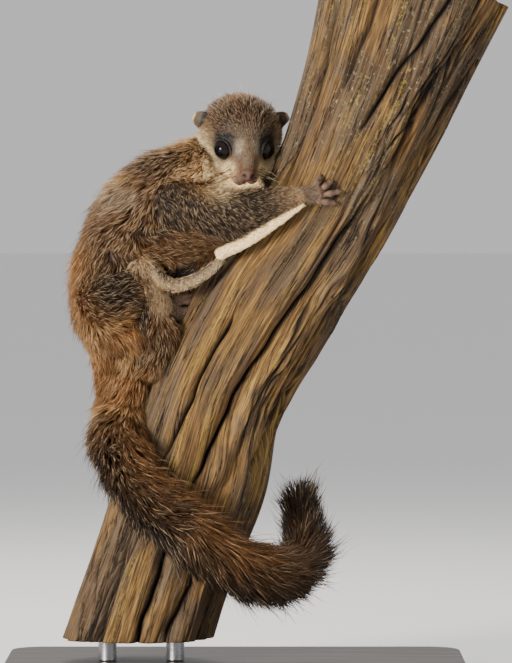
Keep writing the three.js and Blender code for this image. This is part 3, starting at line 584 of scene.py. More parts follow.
def deadWood():
    tones = trunk["tones"]
    material, painter, shader = newMaterial("deadWood", {"Roughness": 0.86, "Specular IOR Level": 0.25})
    straight = painter.attribute("straightPlace", "Vector")
    fibre, thread, streak, patch, speck, sliver = (
        painter.noise(straight, *trunk["grain"][name])
        for name in ("fibre", "thread", "streak", "patch", "speck", "sliver")
    )
    tone = painter.mix(painter.span(streak, 0.38, 0.6), tones["tan"], tones["ochre"])
    tone = painter.mix(painter.span(patch, 0.43, 0.56, 0, 0.9), tone, tones["grey"])
    tone = painter.mix(painter.span(fibre, 0.56, 0.41, 0, 0.85), tone, tones["brown"])
    tone = painter.mix(painter.span(thread, 0.53, 0.4, 0, 0.8), tone, tones["brown"])
    # the deepest grooves between the fibres are painted shade
    tone = painter.mix(painter.span(fibre, 0.38, 0.3), tone, tones["crack"])
    # hairline splits along the grain, most of them in the grey patches, painted as dark lines of shade
    split = painter.math("ABSOLUTE", painter.math("SUBTRACT", sliver, 0.5))
    gape = painter.span(split, 0.014, 0.004)
    seen = painter.times(gape, painter.span(patch, 0.4, 0.52, 0.35, 0.95))
    tone = painter.mix(seen, tone, tones["crack"])
    # specks of lichen, more of them high up, and moss
    height = painter.node("ShaderNodeSeparateXYZ", {0: straight}).outputs[2]
    amount = painter.math("MULTIPLY_ADD", painter.span(height, 330, 430), 0.6, 0.15)
    scab = painter.times(painter.span(speck, 0.59, 0.64), amount)
    tone = painter.mix(painter.times(scab, painter.span(patch, 0.48, 0.54)), tone, tones["lichen"])
    mossy = painter.times(painter.span(speck, 0.5, 0.6), painter.span(streak, 0.56, 0.62, 0, 0.6))
    tone = painter.mix(mossy, tone, tones["moss"])
    # growth rings, and radial checks on the saw cuts painted dark with shade
    level = painter.stretched(straight, (1, 1, 0))
    radius = painter.node("ShaderNodeVectorMath", {0: level}, operation="LENGTH").outputs["Value"]
    yearRing = painter.math("SINE", painter.times(painter.math("MULTIPLY_ADD", patch, 4.0, radius), 2.3))
    cutTone = painter.mix(painter.span(yearRing, -0.2, 1, 0, 0.55), tones["ochre"], tones["brown"])
    cutTone = painter.mix(painter.span(speck, 0.45, 0.62, 0, 0.5), cutTone, tones["grey"])
    bearing = painter.node("ShaderNodeVectorMath", {0: level}, operation="NORMALIZE").outputs[0]
    check = painter.math("ABSOLUTE", painter.math("SUBTRACT", painter.noise(bearing, 1.7, 2), 0.5))
    cutTone = painter.mix(painter.span(check, 0.01, 0.003, 0, 0.9), cutTone, tones["crack"])
    tone = painter.mix(painter.attribute("sawn"), tone, cutTone)
    # painted shade in the hollows of cracks, pits and checks
    tone = painter.mix(painter.span(painter.attribute("hollowShade"), 0.08, 0.75), tone, tones["crack"])
    painter.feed(shader, {"Base Color": tone})
    relief = painter.math("MULTIPLY_ADD", speck, 0.35, painter.math("MULTIPLY_ADD", thread, 0.5, fibre))
    painter.bump(shader, painter.math("MULTIPLY_ADD", gape, -0.5, relief), 0.9, 0.0018)
    return material


# Stand: a flat base with rounded corners, and two short rods
stand = {
    "size": (300, 200), "thickness": 12, "corner": 22, "bevel": 1.5, "cornerSteps": 14,
    "rod": {"diameter": 12, "spacing": 44, "foot": (-61, 0), "bottom": 12.3, "top": 26.7, "bevel": 0.5,
            "sides": 48},
    "baseTone": (0.028, 0.022, 0.018),
    "baseGrain": (0.065, 0.045, 0.032),
    "steelTone": (0.42, 0.42, 0.43),
}


def roundedOutline(width, depth, corner, steps):
    outline = []
    for centreX, centreY, start in ((1, -1, -90), (1, 1, 0), (-1, 1, 90), (-1, -1, 180)):
        for turn in np.radians(np.linspace(start, start + 90, steps)):
            outline.append((
                centreX * (width / 2 - corner) + corner * math.cos(turn),
                centreY * (depth / 2 - corner) + corner * math.sin(turn), 0,
            ))
    return np.array(outline)


def makeStand():
    bevel, thickness = stand["bevel"], stand["thickness"]
    loops = []
    for turn in np.radians(np.linspace(-90, 90, 10)):
        inset = bevel * (1 - math.cos(turn))
        height = bevel + bevel * math.sin(turn) if turn < 0 else thickness - bevel + bevel * math.sin(turn)
        width, depth = (side - 2 * inset for side in stand["size"])
        loop = roundedOutline(width, depth, stand["corner"] - inset, stand["cornerSteps"])
        loop[:, 2] = height
        loops.append(loop)
    points, faces = gridTube(np.array(loops), [(0, 0, 0), (0, 0, thickness)])
    base = newObject("standBase", points * mm, faces)
    base.data.materials.append(stainedWood())
    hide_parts("stand_base")
    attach(base, "root")
    steel = brushedSteel()
    form = stand["rod"]
    y, radius, turn = form["foot"][1], form["diameter"] / 2, turnsRound(form["sides"])
    bottom, top, bevel = form["bottom"], form["top"], form["bevel"]
    profile = [
        (radius - bevel, bottom), (radius, bottom + bevel), (radius, top - bevel), (radius - bevel, top),
    ]
    for name, side in (("left", -1), ("right", 1)):
        x = form["foot"][0] + side * form["spacing"] / 2
        loops = [
            np.stack([x + r * np.cos(turn), y + r * np.sin(turn), np.full(len(turn), z)], -1)
            for r, z in profile
        ]
        points, faces = gridTube(np.array(loops), [(x, y, bottom), (x, y, top)])
        rod = newObject(f"standRod_{name}", points * mm, faces)
        rod.data.materials.append(steel)
        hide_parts(f"stand_rod_{name}")
        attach(rod, "root")


def stainedWood():
    material, painter, shader = newMaterial("stainedWood", {"Roughness": 0.38})
    grain = painter.noise(painter.objectPlace(), (9, 160, 160), 5, 0.6)
    tone = painter.mix(painter.span(grain, 0.35, 0.7), stand["baseTone"], stand["baseGrain"])
    painter.feed(shader, {"Base Color": tone, "Roughness": painter.span(grain, 0.3, 0.7, 0.3, 0.48)})
    painter.bump(shader, grain, 0.25, 0.0004)
    return material


def brushedSteel():
    material, painter, shader = newMaterial("brushedSteel", {"Metallic": 1.0})
    scratch = painter.noise(painter.objectPlace(), (120, 120, 2600), 3, 0.6)
    tone = painter.mix(scratch, tuple(0.8 * value for value in stand["steelTone"]), stand["steelTone"])
    painter.feed(shader, {"Base Color": tone, "Roughness": painter.span(scratch, 0.3, 0.7, 0.24, 0.42)})
    return material


# Body: courses of its parts, with the half-widths of the finished coat across and deep, the depth of the coat
# that the skin leaves free, and the lengths of the round ends
body = {
    "torso": {
        "rows": [
            (-13, -5, 341.5, 20.5, 15.5), (-28, -12, 327, 27.5, 25.5), (-51, -13, 308, 34, 31),
            (-66, -11, 280, 35.5, 34), (-74, -9, 248, 34.5, 33), (-72, -8, 214, 24.5, 25),
            (-72, -8, 184, 18, 18),
        ],
        "coat": 5.5, "caps": (8, 6),
    },
    "belly": {
        "rows": [
            (-46, -9, 305, 18, 15), (-44, -8, 276, 18, 16), (-43, -8, 250, 16, 14), (-58, -8, 222, 13, 13),
        ],
        "coat": 3, "caps": (6, 6),
    },
    "throat": {
        "rows": [(12, -24, 323, 9, 9), (-4, -22, 318, 13, 12), (-24, -18, 312, 16, 14)],
        "coat": 3, "caps": (6, 6),
    },
}
limbs = {
    "upperArm": {
        "Right": [(-40, -30, 309, 20, 17), (-6, -41, 301.5, 16, 12.5)],
        "Left": [(-38, 7, 309, 20, 17), (-11, 36, 298, 16, 12.5)],
        "coat": 1.7, "caps": (11, 8),
    },
    "forearm": {
        "Right": [(-6, -41, 301.5, 15.5, 12), (18, -43.75, 308, 11.5, 9.5), (44, -46.5, 315, 6, 5.4)],
        "Left": [(-11, 36, 298, 15.5, 12), (13.5, 41.5, 301.5, 11.5, 9.5), (39, 47, 305.5, 6, 5.4)],
        "coat": 1.2, "caps": (8, 2),
    },
    "thigh": {
        "Right": [(-82, -29, 246, 23, 18), (-58, -37, 269, 13, 11)],
        "Left": [(-80, 12, 246, 23, 18), (-58, 20, 268, 13, 11)],
        "coat": 4.5, "caps": (16, 8),
    },
    "shank": {
        "Right": [(-59, -41, 270, 9.5, 8.5), (-54, -36, 257, 9, 8), (-47, -27, 242, 7.5, 7)],
        "Left": [(-59, 24, 270, 9.5, 8.5), (-54, 20, 257, 9, 8), (-47, 15, 242, 7.5, 7)],
        "coat": 1.4, "caps": (6, 4),
    },
    "flap": {
        "Right": [(-9, -39, 277.5, 4.8, 3.5), (6.5, -43, 285, 5, 3), (20, -46, 293, 4.5, 2.4),
                  (34, -48, 301.5, 3, 2), (44, -48.5, 308, 1.8, 1.5)],
        "Left": [(-9, 38, 277.5, 4.8, 3.5), (6.5, 41, 285, 5, 3), (20, 45, 293, 4.5, 2.4),
                 (34, 48, 301.5, 3, 2), (40, 48.5, 304, 1.8, 1.5)],
        "coat": 0.7, "caps": (4, 2),
    },
}
tail = {
    "rows": [
        (-73, -9, 192, 17, 17), (-73, -9, 181, 17.5, 17.5), (-75, -20, 163, 22, 22),
        (-70, -40, 143, 23.5, 23.5), (-56, -58, 124, 22.5, 22.5), (-38, -66, 108, 22, 22),
        (-18, -66, 92, 22, 22), (2, -57, 80, 21.5, 21.5), (21, -40, 72, 20.5, 20.5), (37, -17, 72, 19, 19),
        (45, 4, 82, 16.5, 16.5), (45, 17, 97, 13.5, 13.5), (43, 25, 113, 9, 9),
    ],
    # of the half-widths that is flesh, and the rest fur
    "coreShare": (0.74, 0.72, 0.56, 0.46, 0.42, 0.42, 0.42, 0.42, 0.42, 0.42, 0.42, 0.42, 0.42),
}


# The fold of gliding skin along a flank, as an edge, a ridge and a web between them, and the fills beside it
def flankParts(word):
    y = (lambda depth: -depth) if word == "Right" else (lambda depth: depth - 16)
    return {
        f"foldEdge{word}": {
            "rows": [
                (-9, y(36), 273.5, 3.5, 3.5), (-15, y(35), 267.6, 3.9, 3.9), (-22, y(34), 262.8, 4.2, 4.2),
                (-29, y(33), 259.2, 4.4, 4.4), (-37.5, y(34.5), 257.2, 4.5, 4.5),
                (-45.5, y(38.5), 259.8, 4.5, 4.5), (-52.5, y(43), 265.8, 4.5, 4.5),
                (-59, y(43), 272.5, 4.6, 4.6),
            ],
            "coat": 0.8, "caps": (3, 3),
        },
        f"foldRidge{word}": {
            "rows": [
                (-76, y(36), 280, 5, 4), (-58, y(38), 277, 8, 7), (-36, y(36), 278, 9, 7),
                (-16, y(34), 285, 7, 6),
            ],
            "coat": 3, "caps": (4, 4),
        },
        f"foldFill{word}": {
            "rows": [(-66, y(33), 291, 8, 7), (-38, y(37), 290, 9, 7), (-14, y(38), 290, 8, 5.5)],
            "coat": 2, "caps": (4, 4),
        },
        f"haunch{word}": {
            "rows": [(-56, y(27), 246, 8, 9), (-50, y(22), 228, 12, 9), (-57, y(17), 206, 9.5, 9)],
            "coat": 1, "caps": (5, 6),
        },
        f"foldWeb{word}": {
            "rows": [(-14, y(30), 277, 5, 2), (-32, y(27), 268, 12, 2.4), (-52, y(30), 268, 9, 2.2)],
            "coat": 0.6, "caps": (3, 3),
        },
    }


for kind, limb in limbs.items():
    for word in ("Right", "Left"):
        body[kind + word] = {"rows": limb[word], "coat": limb["coat"], "caps": limb["caps"]}
body.update(flankParts("Right"))
body.update(flankParts("Left"))


# Head: places in its own frame, as forward, outward and up
head = {
    "at": (4.5, -16, 348.5),
    "yaw": 12,
    "pitch": 37,
    # forward, up, half-width, half-height, from the nape to the muzzle
    "rings": [
        (-27, 1, 15, 15), (-19, 1.5, 23.5, 22.5), (-9, 1.5, 26.5, 25.5), (-1, 0.5, 24.5, 25.5),
        (5, -1, 20.5, 23.5), (10, -3, 16.5, 20.5), (15, -5, 12.8, 16.5), (20, -6.5, 10.4, 12),
        (23.5, -7, 8.4, 8.8), (25.5, -7, 6.4, 6.8),
    ],
    "coat": 1.5,
    "caps": (5, 2),
    "cheek": {"forward": 7, "turn": 40, "proud": 9.5, "reach": 8.5, "spread": 0.52},
    "socket": {"forward": 9.5, "turn": -14, "proud": -2.2, "reach": 5.5, "spread": 0.4},
    # balls, each with its half-sizes: pads of the whiskers and jowls on both sides, chin and nose
    "pad": {"at": (21.8, 3.6, -11.6), "halfSizes": (6.2, 5.6, 5.2)},
    "jowl": {"at": (3, 14, -13), "halfSizes": (12, 10, 9)},
    "chin": {"at": (16, 0, -19), "halfSizes": (7.8, 6.6, 4.6)},
    "nose": {"at": (27, 0, -4.8), "halfSizes": (4.2, 4.9, 4.4)},
    # tubes: the gullet, and the bridge of the nose that runs up between the eyes
    "gullet": {"course": [(6, 0, -13), (-6, 0, -20), (-22, 0, -22)], "half": (15, 11), "sides": 30},
    "bridge": {"course": [(24.5, 0, -3.4), (17, 0, 4.4), (9, 0, 12.5)], "half": (5.2, 4.2), "sides": 20},
    "eye": {
        "at": (8, 12.6, 1.6), "radius": 7.2, "facing": (0.62, 0.77, 0.12), "opening": 6.5, "lid": 0.62,
        "cornea": 0.35,
        "pupilTone": (0.0012, 0.0012, 0.002), "irisTones": ((0.004, 0.003, 0.003), (0.014, 0.009, 0.007)),
        "rimTone": (0.003, 0.002, 0.002),
    },
    "nostril": {"at": (30, 3, -4.4), "radius": 1.4, "depth": 1.7},
    "philtrum": {"up": -11.2, "reach": 2.4, "half": 0.5, "depth": 0.5, "from": 22},
    "mouth": {
        "line": [
            (12, -10.6, -14.6), (20, -8, -16.2), (25.8, -3.8, -16.8), (27.6, 0, -16.2),
            (25.8, 3.8, -16.8), (20, 8, -16.2), (12, 10.6, -14.6),
        ],
        "half": 0.75, "depth": 1.2,
    },
    "flow": {"from": (30, 0, -7), "back": 0.55},   # where the hair starts, and how much more it runs back
    # long hairs: root, how far roots and aims scatter, aim, and length
    "whiskers": [
        {"from": (21, 7, -8), "spread": (2.5, 0.5, 2.4), "toward": (0.35, 0.9, -0.25), "fan": 0.2,
         "length": (17, 34), "count": 12, "wide": 0.2, "tone": "dark"},
        {"from": (20, 7, -9), "spread": (2.5, 0.5, 2.4), "toward": (0.2, 0.85, -0.4), "fan": 0.2,
         "length": (12, 22), "count": 6, "wide": 0.18, "tone": "cream"},
        {"from": (10, 9, 11), "spread": (1.5, 1.2, 1), "toward": (0.35, 0.4, 0.8), "fan": 0.22,
         "length": (11, 18), "count": 4, "wide": 0.15, "tone": "dark"},
        {"from": (-12, 7, 24), "spread": (7, 7, 2), "toward": (-0.5, 0.25, 0.8), "fan": 0.3,
         "length": (9, 17), "count": 16, "wide": 0.12, "tone": "pearl"},
        {"from": (-20, 14, 12), "spread": (5, 5, 6), "toward": (-0.7, 0.5, 0.5), "fan": 0.3,
         "length": (10, 18), "count": 14, "wide": 0.12, "tone": "pearl"},
    ],
    "ear": {"root": (-7, 20, 9.6), "tip": (-13, 31.4, 10.6), "width": 13.2, "cup": 4, "thickness": 0.9},
}
yaw, pitch = math.radians(head["yaw"]), math.radians(head["pitch"])
headForward = np.array([math.sin(yaw) * math.cos(pitch), -math.cos(yaw) * math.cos(pitch), -math.sin(pitch)])
headUp = np.array([math.sin(yaw) * math.sin(pitch), -math.cos(yaw) * math.sin(pitch), math.cos(pitch)])
headLeft = np.cross(headUp, headForward)
headBasis = np.array([headForward, headLeft, headUp])


def onHead(forwardLeftUp):
    return np.array(head["at"]) + np.array(forwardLeftUp, float) @ headBasis


def inHead(points):
    return (points - np.array(head["at"])) @ headBasis.T


# A place of the head's frame on the left (1) or the right (-1)
def onSide(place, side):
    return np.array([place[0], side * place[1], place[2]])


def mirrored(place):
    return [onSide(place, side) for side in (-1, 1)]


# Middle of an eye, where it looks, and two directions across that
def eyeFrame(side):
    facing = unit(onSide(head["eye"]["facing"], side) @ headBasis)
    first = unit(np.cross(facing, headUp))
    return onHead(onSide(head["eye"]["at"], side)), facing, first, np.cross(facing, first)


def headShell():
    rows = [(*onHead((forward, 0, up)), wide, high) for forward, up, wide, high in head["rings"]]
    rings, middle, along = ringsRound(
        rows, 70, 72, reference=headUp, facing=headForward, thinner=head["coat"],
    )
    outward = unit(rings - middle[:, None])
    forward = inHead(middle)[:, 0][:, None]
    angle = turnsRound(72)[None, :]
    for form in (head["cheek"], head["socket"]):
        reach = bell(forward - form["forward"], form["reach"])
        below = math.radians(form["turn"])
        nearSides = [
            bell((angle - turn + math.pi) % (2 * math.pi) - math.pi, form["spread"])
            for turn in (-below, math.pi + below)
        ]
        rings = rings + outward * (form["proud"] * reach * np.maximum(*nearSides))[..., None]
    return roundEnds(rings, middle, along, head["caps"], (25, 50, 75))


# A ring of the lids round one eye
def lidRing(side):
    eye = head["eye"]
    centre, facing, first, second = eyeFrame(side)
    ahead = math.sqrt(eye["radius"] ** 2 - eye["opening"] ** 2)
    turn, small = turnsRound(48), turnsRound(12)
    radial = first * np.cos(turn)[:, None] + second * np.sin(turn)[:, None]
    reach = eye["opening"] + eye["lid"] * 0.9 + eye["lid"] * np.cos(small)
    grid = (
        centre + facing * ahead + radial[:, None, :] * reach[None, :, None]
        + facing * (eye["lid"] * np.sin(small))[None, :, None]
    )
    ring, part = np.meshgrid(np.arange(48), np.arange(12), indexing="ij")
    corner = lambda i, j: (i % 48) * 12 + j % 12
    quad = [corner(ring, part), corner(ring + 1, part), corner(ring + 1, part + 1), corner(ring, part + 1)]
    return grid.reshape(-1, 3), [tuple(face) for face in np.stack(quad, -1).reshape(-1, 4)]


def headBall(form, place=None):
    return ball(onHead(form["at"] if place is None else place), form["halfSizes"], headBasis)


def headTube(form):
    return tube([(*onHead(place), *form["half"]) for place in form["course"]], 20, form["sides"])


def makeHeadSkin():
    eye, nostril, philtrum, mouth = head["eye"], head["nostril"], head["philtrum"], head["mouth"]
    forms = [headShell(), lidRing(1), lidRing(-1)]
    for form in (head["pad"], head["jowl"]):
        forms += [headBall(form, place) for place in mirrored(form["at"])]
    forms += [headBall(head["chin"]), headTube(head["gullet"])]
    forms += [headBall(head["nose"]), headTube(head["bridge"])]
    skin = fused("headSkin", forms, "head")
    points, normals = pointsOf(skin) / mm, normalsOf(skin) @ headBasis.T
    place = inHead(points)
    # the skin passes close behind each eye
    for side in (-1, 1):
        centre, facing = onSide(eye["at"], side), unit(onSide(eye["facing"], side))
        away = place - centre
        distance = np.linalg.norm(away, axis=1)
        cosine = (away @ facing) / np.maximum(distance, 1e-6)
        openCosine = math.cos(math.asin(eye["opening"] / eye["radius"]))
        inside = (cosine > openCosine) & (distance < eye["radius"] + 3)
        place[inside] = centre + unit(away[inside]) * (eye["radius"] - 1.0)
        # and never cuts through the ball itself
        near = (~inside) & (distance < eye["radius"] + 0.25) & (cosine > 0.2)
        place[near] = centre + unit(away[near]) * (eye["radius"] + 0.25)
    # nostrils, the groove below the nose and the line of the mouth
    for centre in mirrored(nostril["at"]):
        off = place - centre
        off[:, 1] *= 0.85
        dent = bell(np.linalg.norm(off, axis=1), nostril["radius"])
        place -= normals * (nostril["depth"] * dent)[:, None]
    below = bell(place[:, 1], philtrum["half"]) * bell(place[:, 2] - philtrum["up"], philtrum["reach"])
    below = below * (place[:, 0] > philtrum["from"])
    line = smoothLine(mouth["line"], 80)
    groove = bell(np.linalg.norm(place[:, None, :] - line[None], axis=2).min(1), mouth["half"])
    place -= normals * (philtrum["depth"] * below + mouth["depth"] * groove)[:, None]
    setPoints(skin, (np.array(head["at"]) + place @ headBasis) * mm)
    return skin


# Ears: cupped blades with a rolled edge
def makeEar(side):
    ear = head["ear"]
    root, tip = (onHead(onSide(ear[end], side)) for end in ("root", "tip"))
    axis = tip - root
    rise = unit(np.array([-0.3, 0, 1.0]) @ headBasis)
    facing = unit(np.cross(axis, rise) * side)
    across, along = 26, 26
    u, v = np.meshgrid(np.linspace(-1, 1, across), np.linspace(-0.25, 1, along), indexing="ij")
    outline = np.sqrt(np.clip(1 - (np.maximum(0, v - 0.35) / 0.65) ** 2, 0.01, 1))
    half = ear["width"] / 2 * outline * (0.85 + 0.15 * v)
    rim = bell(1 - np.abs(u), 0.16) + bell(1 - v, 0.12)
    cup = ear["cup"] * u * u * (1 - 0.5 * v) - 0.9 * np.clip(rim, 0, 1)
    middle = root + axis * v[..., None] + rise * (side * u * half)[..., None] - facing * cup[..., None]
    overU, overV = np.gradient(middle, axis=0), np.gradient(middle, axis=1)
    normal = unit(np.cross(overU, overV))
    thick = ear["thickness"] / 2 * (1 + 0.5 * np.clip(rim, 0, 1))[..., None]
    points = np.concatenate([(middle + normal * sign * thick).reshape(-1, 3) for sign in (1, -1)])
    index = np.arange(across * along).reshape(across, along)
    under = across * along
    faces = []
    for i in range(across - 1):
        for j in range(along - 1):
            quad = [index[i, j], index[i + 1, j], index[i + 1, j + 1], index[i, j + 1]]
            faces.append(tuple(quad))
            faces.append(tuple(under + corner for corner in quad[::-1]))
    rimLoop = [*index[:, 0], *index[-1, 1:], *index[-2::-1, -1], *index[0, -2:0:-1]]
    for number, corner in enumerate(rimLoop):
        following = rimLoop[(number + 1) % len(rimLoop)]
        faces.append((corner, under + corner, under + following, following))
    return points, faces


# Hands and feet: a palm and a fan of knuckled digits, each with a hooked claw
paws = {
    "digitRadius": 1.95,
    "palm": (6.1, 3.1),
    "claw": {
        "length": 5.2, "radius": 0.95, "ahead": 0.42, "hook": 0.62,
        "tones": ((0.07, 0.05, 0.04), (0.24, 0.17, 0.12)),
    },
    "handRight": {
        "root": (40, -46.4, 314.2),
        "digits": [
            ((51, -45, 320.5), (54, -43, 326)), ((55, -44.5, 318.5), (61, -42.5, 323)),
            ((56, -44.5, 315), (66, -42.5, 317)), ((54, -45, 311), (63, -42.5, 310)),
        ],
    },
    "handLeft": {
        "root": (36, 46.6, 304.8),
        "digits": [
            ((47, 45, 312), (50, 43, 317)), ((51, 44.5, 310), (57, 42.5, 314)),
            ((52, 44.5, 306), (62, 42.5, 308)), ((50, 45, 302), (59, 42.5, 301)),
        ],
    },
    "footRight": {
        "root": (-47, -26, 242),
        "digits": [
            ((-38, -19, 248.4), (-28, -14, 250.6)), ((-37, -18, 246), (-25.5, -13, 247.2)),
            ((-38, -17, 241.6), (-25.5, -12.5, 240.8)), ((-38, -16, 239), (-25.5, -11.5, 237.8)),
            ((-39, -15, 236.4), (-28, -10.5, 234.8)),
        ],
    },
    "footLeft": {
        "root": (-47, 15, 242),
        "digits": [
            ((-39, 18, 249), (-28, 13, 251)), ((-38, 17, 246), (-26, 12, 247.5)),
            ((-38, 16, 242), (-26, 11, 242)), ((-38, 15, 239), (-26, 10, 239)),
            ((-39, 14, 236), (-29, 9, 235.5)),
        ],
    },
}
pawNames = ("handRight", "handLeft", "footRight", "footLeft")


def digitLine(knuckle, tip):
    knuckle, tip = np.array(knuckle, float), np.array(tip, float)
    bend = (knuckle + tip) / 2
    bend[1] += math.copysign(1.6, bend[1])
    return knuckle, bend, tip


def makePaw(name):
    root, digits = np.array(paws[name]["root"]), paws[name]["digits"]
    radius = paws["digitRadius"]
    wide, tall = paws["palm"]
    middle = np.mean([knuckle for knuckle, tip in digits], axis=0)
    palm = [
        (*root, wide * 0.85, tall * 1.2), (*(0.5 * (root + middle)), wide * 0.92, tall),
        (*middle, wide, tall),
    ]
    forms = [tube(palm, 16, 24, caps=(3, 2))]
    for knuckle, tip in digits:
        knuckle, bend, tip = digitLine(knuckle, tip)
        rows = [
            (*(0.35 * knuckle + 0.65 * middle), radius, radius), (*knuckle, radius * 1.12, radius * 1.05),
            (*(0.5 * (knuckle + bend)), radius * 0.88, radius * 0.85), (*bend, radius * 1.05, radius),
            (*(0.4 * bend + 0.6 * tip), radius * 0.82, radius * 0.8), (*tip, radius * 0.95, radius * 0.9),
        ]
        forms.append(tube(rows, 26, 14, caps=(1, radius)))
        forms.append(ball(knuckle * 0.8 + middle * 0.2, (2.2, 2.0, 2.0), across=14, high=10))
    return fused(name, forms, "paw")


# Hooked claws, one at the end of each digit
def makeClaws():
    claw = paws["claw"]
    forms = []
    for name in pawNames:
        for knuckle, tip in paws[name]["digits"]:
            knuckle, bend, tip = digitLine(knuckle, tip)
            ahead = unit(tip - bend)
            inward = np.array([0, -math.copysign(1, tip[1]), 0])
            rows = []
            for share in np.linspace(-0.15, 1, 7):
                radius = claw["radius"] * (1 - max(share, 0) ** 1.4 * 0.9)
                # the claw rises a little before it hooks into the wood
                lift = -0.25 * math.sin(math.pi * max(share, 0)) + claw["hook"] * max(share, 0) ** 1.6
                reach = claw["ahead"] * math.sin(0.5 * math.pi * share)
                place = tip + (ahead * (0.2 + reach) + inward * lift) * claw["length"]
                rows.append((*place, radius * 0.7, radius))
            forms.append(tube(rows, 14, 10, caps=(0.3, 0.1)))
    points, faces = joined(forms)
    made = newObject("claws", points * mm, faces)
    made.data.shade_smooth()
    made.data.materials.append(clawHorn())
    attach(made, "root")


def clawHorn():
    material, painter, shader = newMaterial("clawHorn", {"Roughness": 0.32})
    mottle = painter.noise(painter.objectPlace(), (500, 500, 500), 3)
    painter.feed(shader, {"Base Color": painter.mix(mottle, *paws["claw"]["tones"])})
    return material


# Eyes: a dark, wet ball with a barely lighter iris round a wide pupil
def makeEyes():
    eye = head["eye"]
    gloss = eyeGloss()
    for word, side in (("Left", 1), ("Right", -1)):
        centre, facing, first, second = eyeFrame(side)
        points, faces = ball(centre, (eye["radius"],) * 3, (first, second, facing), across=64, high=40)
        # the cornea bulges a little over the iris
        away = points - centre
        cosine = unit(away) @ facing
        bulge = eye["cornea"] * ramp(cosine, 0.72, 0.28) ** 1.5
        points = centre + unit(away) * (eye["radius"] + bulge)[:, None]
        made = newObject(f"eye{word}", points * mm, faces)
        made.data.shade_smooth()
        putOnPoints(made, "fromPupil", np.arccos(np.clip(cosine, -1, 1)))
        made.data.materials.append(gloss)
        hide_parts(f"eye_{word.lower()}")
        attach(made, "root")


def eyeGloss():
    eye = head["eye"]
    material, painter, shader = newMaterial("eyeGloss", {"Roughness": 0.04, "Specular IOR Level": 0.13})
    fromPupil = painter.attribute("fromPupil")
    streak = painter.noise(painter.objectPlace(), (420, 420, 420), 3)
    iris = painter.mix(streak, *eye["irisTones"])
    tone = painter.mix(painter.span(fromPupil, 0.5, 0.6), eye["pupilTone"], iris)
    tone = painter.mix(painter.span(fromPupil, 0.9, 1.05), tone, eye["rimTone"])
    painter.feed(shader, {"Base Color": tone})
    return material


# The whole skin: body, head, ears, hands and feet in one object
fleshNodes = [
    "head", "ear_right", "ear_left", "nose", "neck", "torso_chest", "torso_loin", "torso_rump",
    *[f"{part}_{word}" for word in ("right", "left") for part in (
        "upper_arm", "forearm", "hand", "thigh", "shank", "foot", "membrane_flank", "membrane_wrist",
    )],
    *[f"tail_{number}" for number in range(1, 6)],
]


def makeSkin():
    bodyForms = [
        tube(part["rows"], 40, 36, caps=part["caps"], thinner=part["coat"]) for part in body.values()
    ]
    core = [(*row[:3], row[3] * share, row[4] * share) for row, share in zip(tail["rows"], tail["coreShare"])]
    bodyForms.append(tube(core, 90, 28, caps=(2, 3)))
    islands = [fused("bodySkin", bodyForms, "body"), makeHeadSkin()]
    islands += [makePaw(name) for name in pawNames]
    for side in (-1, 1):
        points, faces = makeEar(side)
        islands.append(newObject(f"earSkin{side}", points * mm, faces))
    points, corners, kinds = [], [], []
    for number, island in enumerate(islands):
        start = sum(len(part) for part in points)
        points.append(pointsOf(island))
        corners.append(trianglesOf(island) + start)
        kinds.append(np.full(len(points[-1]), number))
        bpy.data.objects.remove(island)
    skin = bigObject("skin", np.concatenate(points), np.concatenate(corners))
    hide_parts(*fleshNodes)
    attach(skin, "root")
    return skin, np.concatenate(kinds)


# The lie of the coat on each part: hair lengths in mm at even steps along it, how far the flow droops, the
# half-width of a tuft in mm, how steeply it leaves the skin in degrees, the number of tufts on a square mm,
# and the share of them with pale tips
coat = {
    "torso": ((11, 12, 14, 15, 15, 14, 14), 0, 0.26, 36, 1.25, 0.3),
    "belly": ((8, 8, 8), 0, 0.22, 30, 1.2, 0.2),
    "throat": ((8, 9, 10), 0, 0.2, 32, 1.8, 0.2),
    "upperArm": ((11, 10, 9), 0.8, 0.22, 38, 1.8, 0.5),
    "forearm": ((9, 8, 6, 4), 0.55, 0.18, 36, 2.3, 0.5),
    "thigh": ((14, 13, 9), 0.5, 0.26, 34, 1.4, 0.3),
    "shank": ((5, 4.6, 4.2, 3.8), 0, 0.15, 28, 4.5, 0.4),
    "flap": ((2.6, 2.2, 1.8), 0, 0.11, 18, 6, 0.1),
    "foldEdge": ((3.2, 3.8, 4.6), 0, 0.19, 32, 3.2, 1),
    "foldRidge": ((12, 12, 11, 8), 0.35, 0.22, 34, 2.0, 0.35),
    "foldFill": ((13, 12, 11), 0.5, 0.24, 34, 1.8, 0.35),
    "haunch": ((10, 12, 13), 0, 0.24, 38, 1.6, 0.35),
    "foldWeb": ((6, 6, 6), 0.4, 0.2, 26, 1.6, 0.2),
    "tail": ((13, 19, 24, 26, 26, 26, 26, 26, 24, 22), 0, 0.34, 38, 1.5, 0.12),
}
coatMeasures = ("wide", "lift", "density", "grizzle")
headKinds, pawKinds, earKinds = (1,), (2, 3, 4, 5), (6, 7)   # islands of the skin, after the body


# Where points lie along a part: place from 0 to 1, turn in degrees, closeness, and the part's direction
def alongPart(points, rows, count=80):
    line, middle, along, deep, across = framesAlong(rows, count)
    squares = (points**2).sum(1)[:, None] - 2 * points @ middle.T + (middle**2).sum(1)
    nearest = squares.argmin(1)
    off = points - middle[nearest]
    turn = np.degrees(np.arctan2((off * deep[nearest]).sum(1), (off * across[nearest]).sum(1))) % 360
    closeness = np.linalg.norm(off, axis=1) / line[nearest, 3:5].mean(1)
    return nearest / (count - 1), turn, closeness, along[nearest]


def kindOf(name):
    return name.replace("Right", "").replace("Left", "")


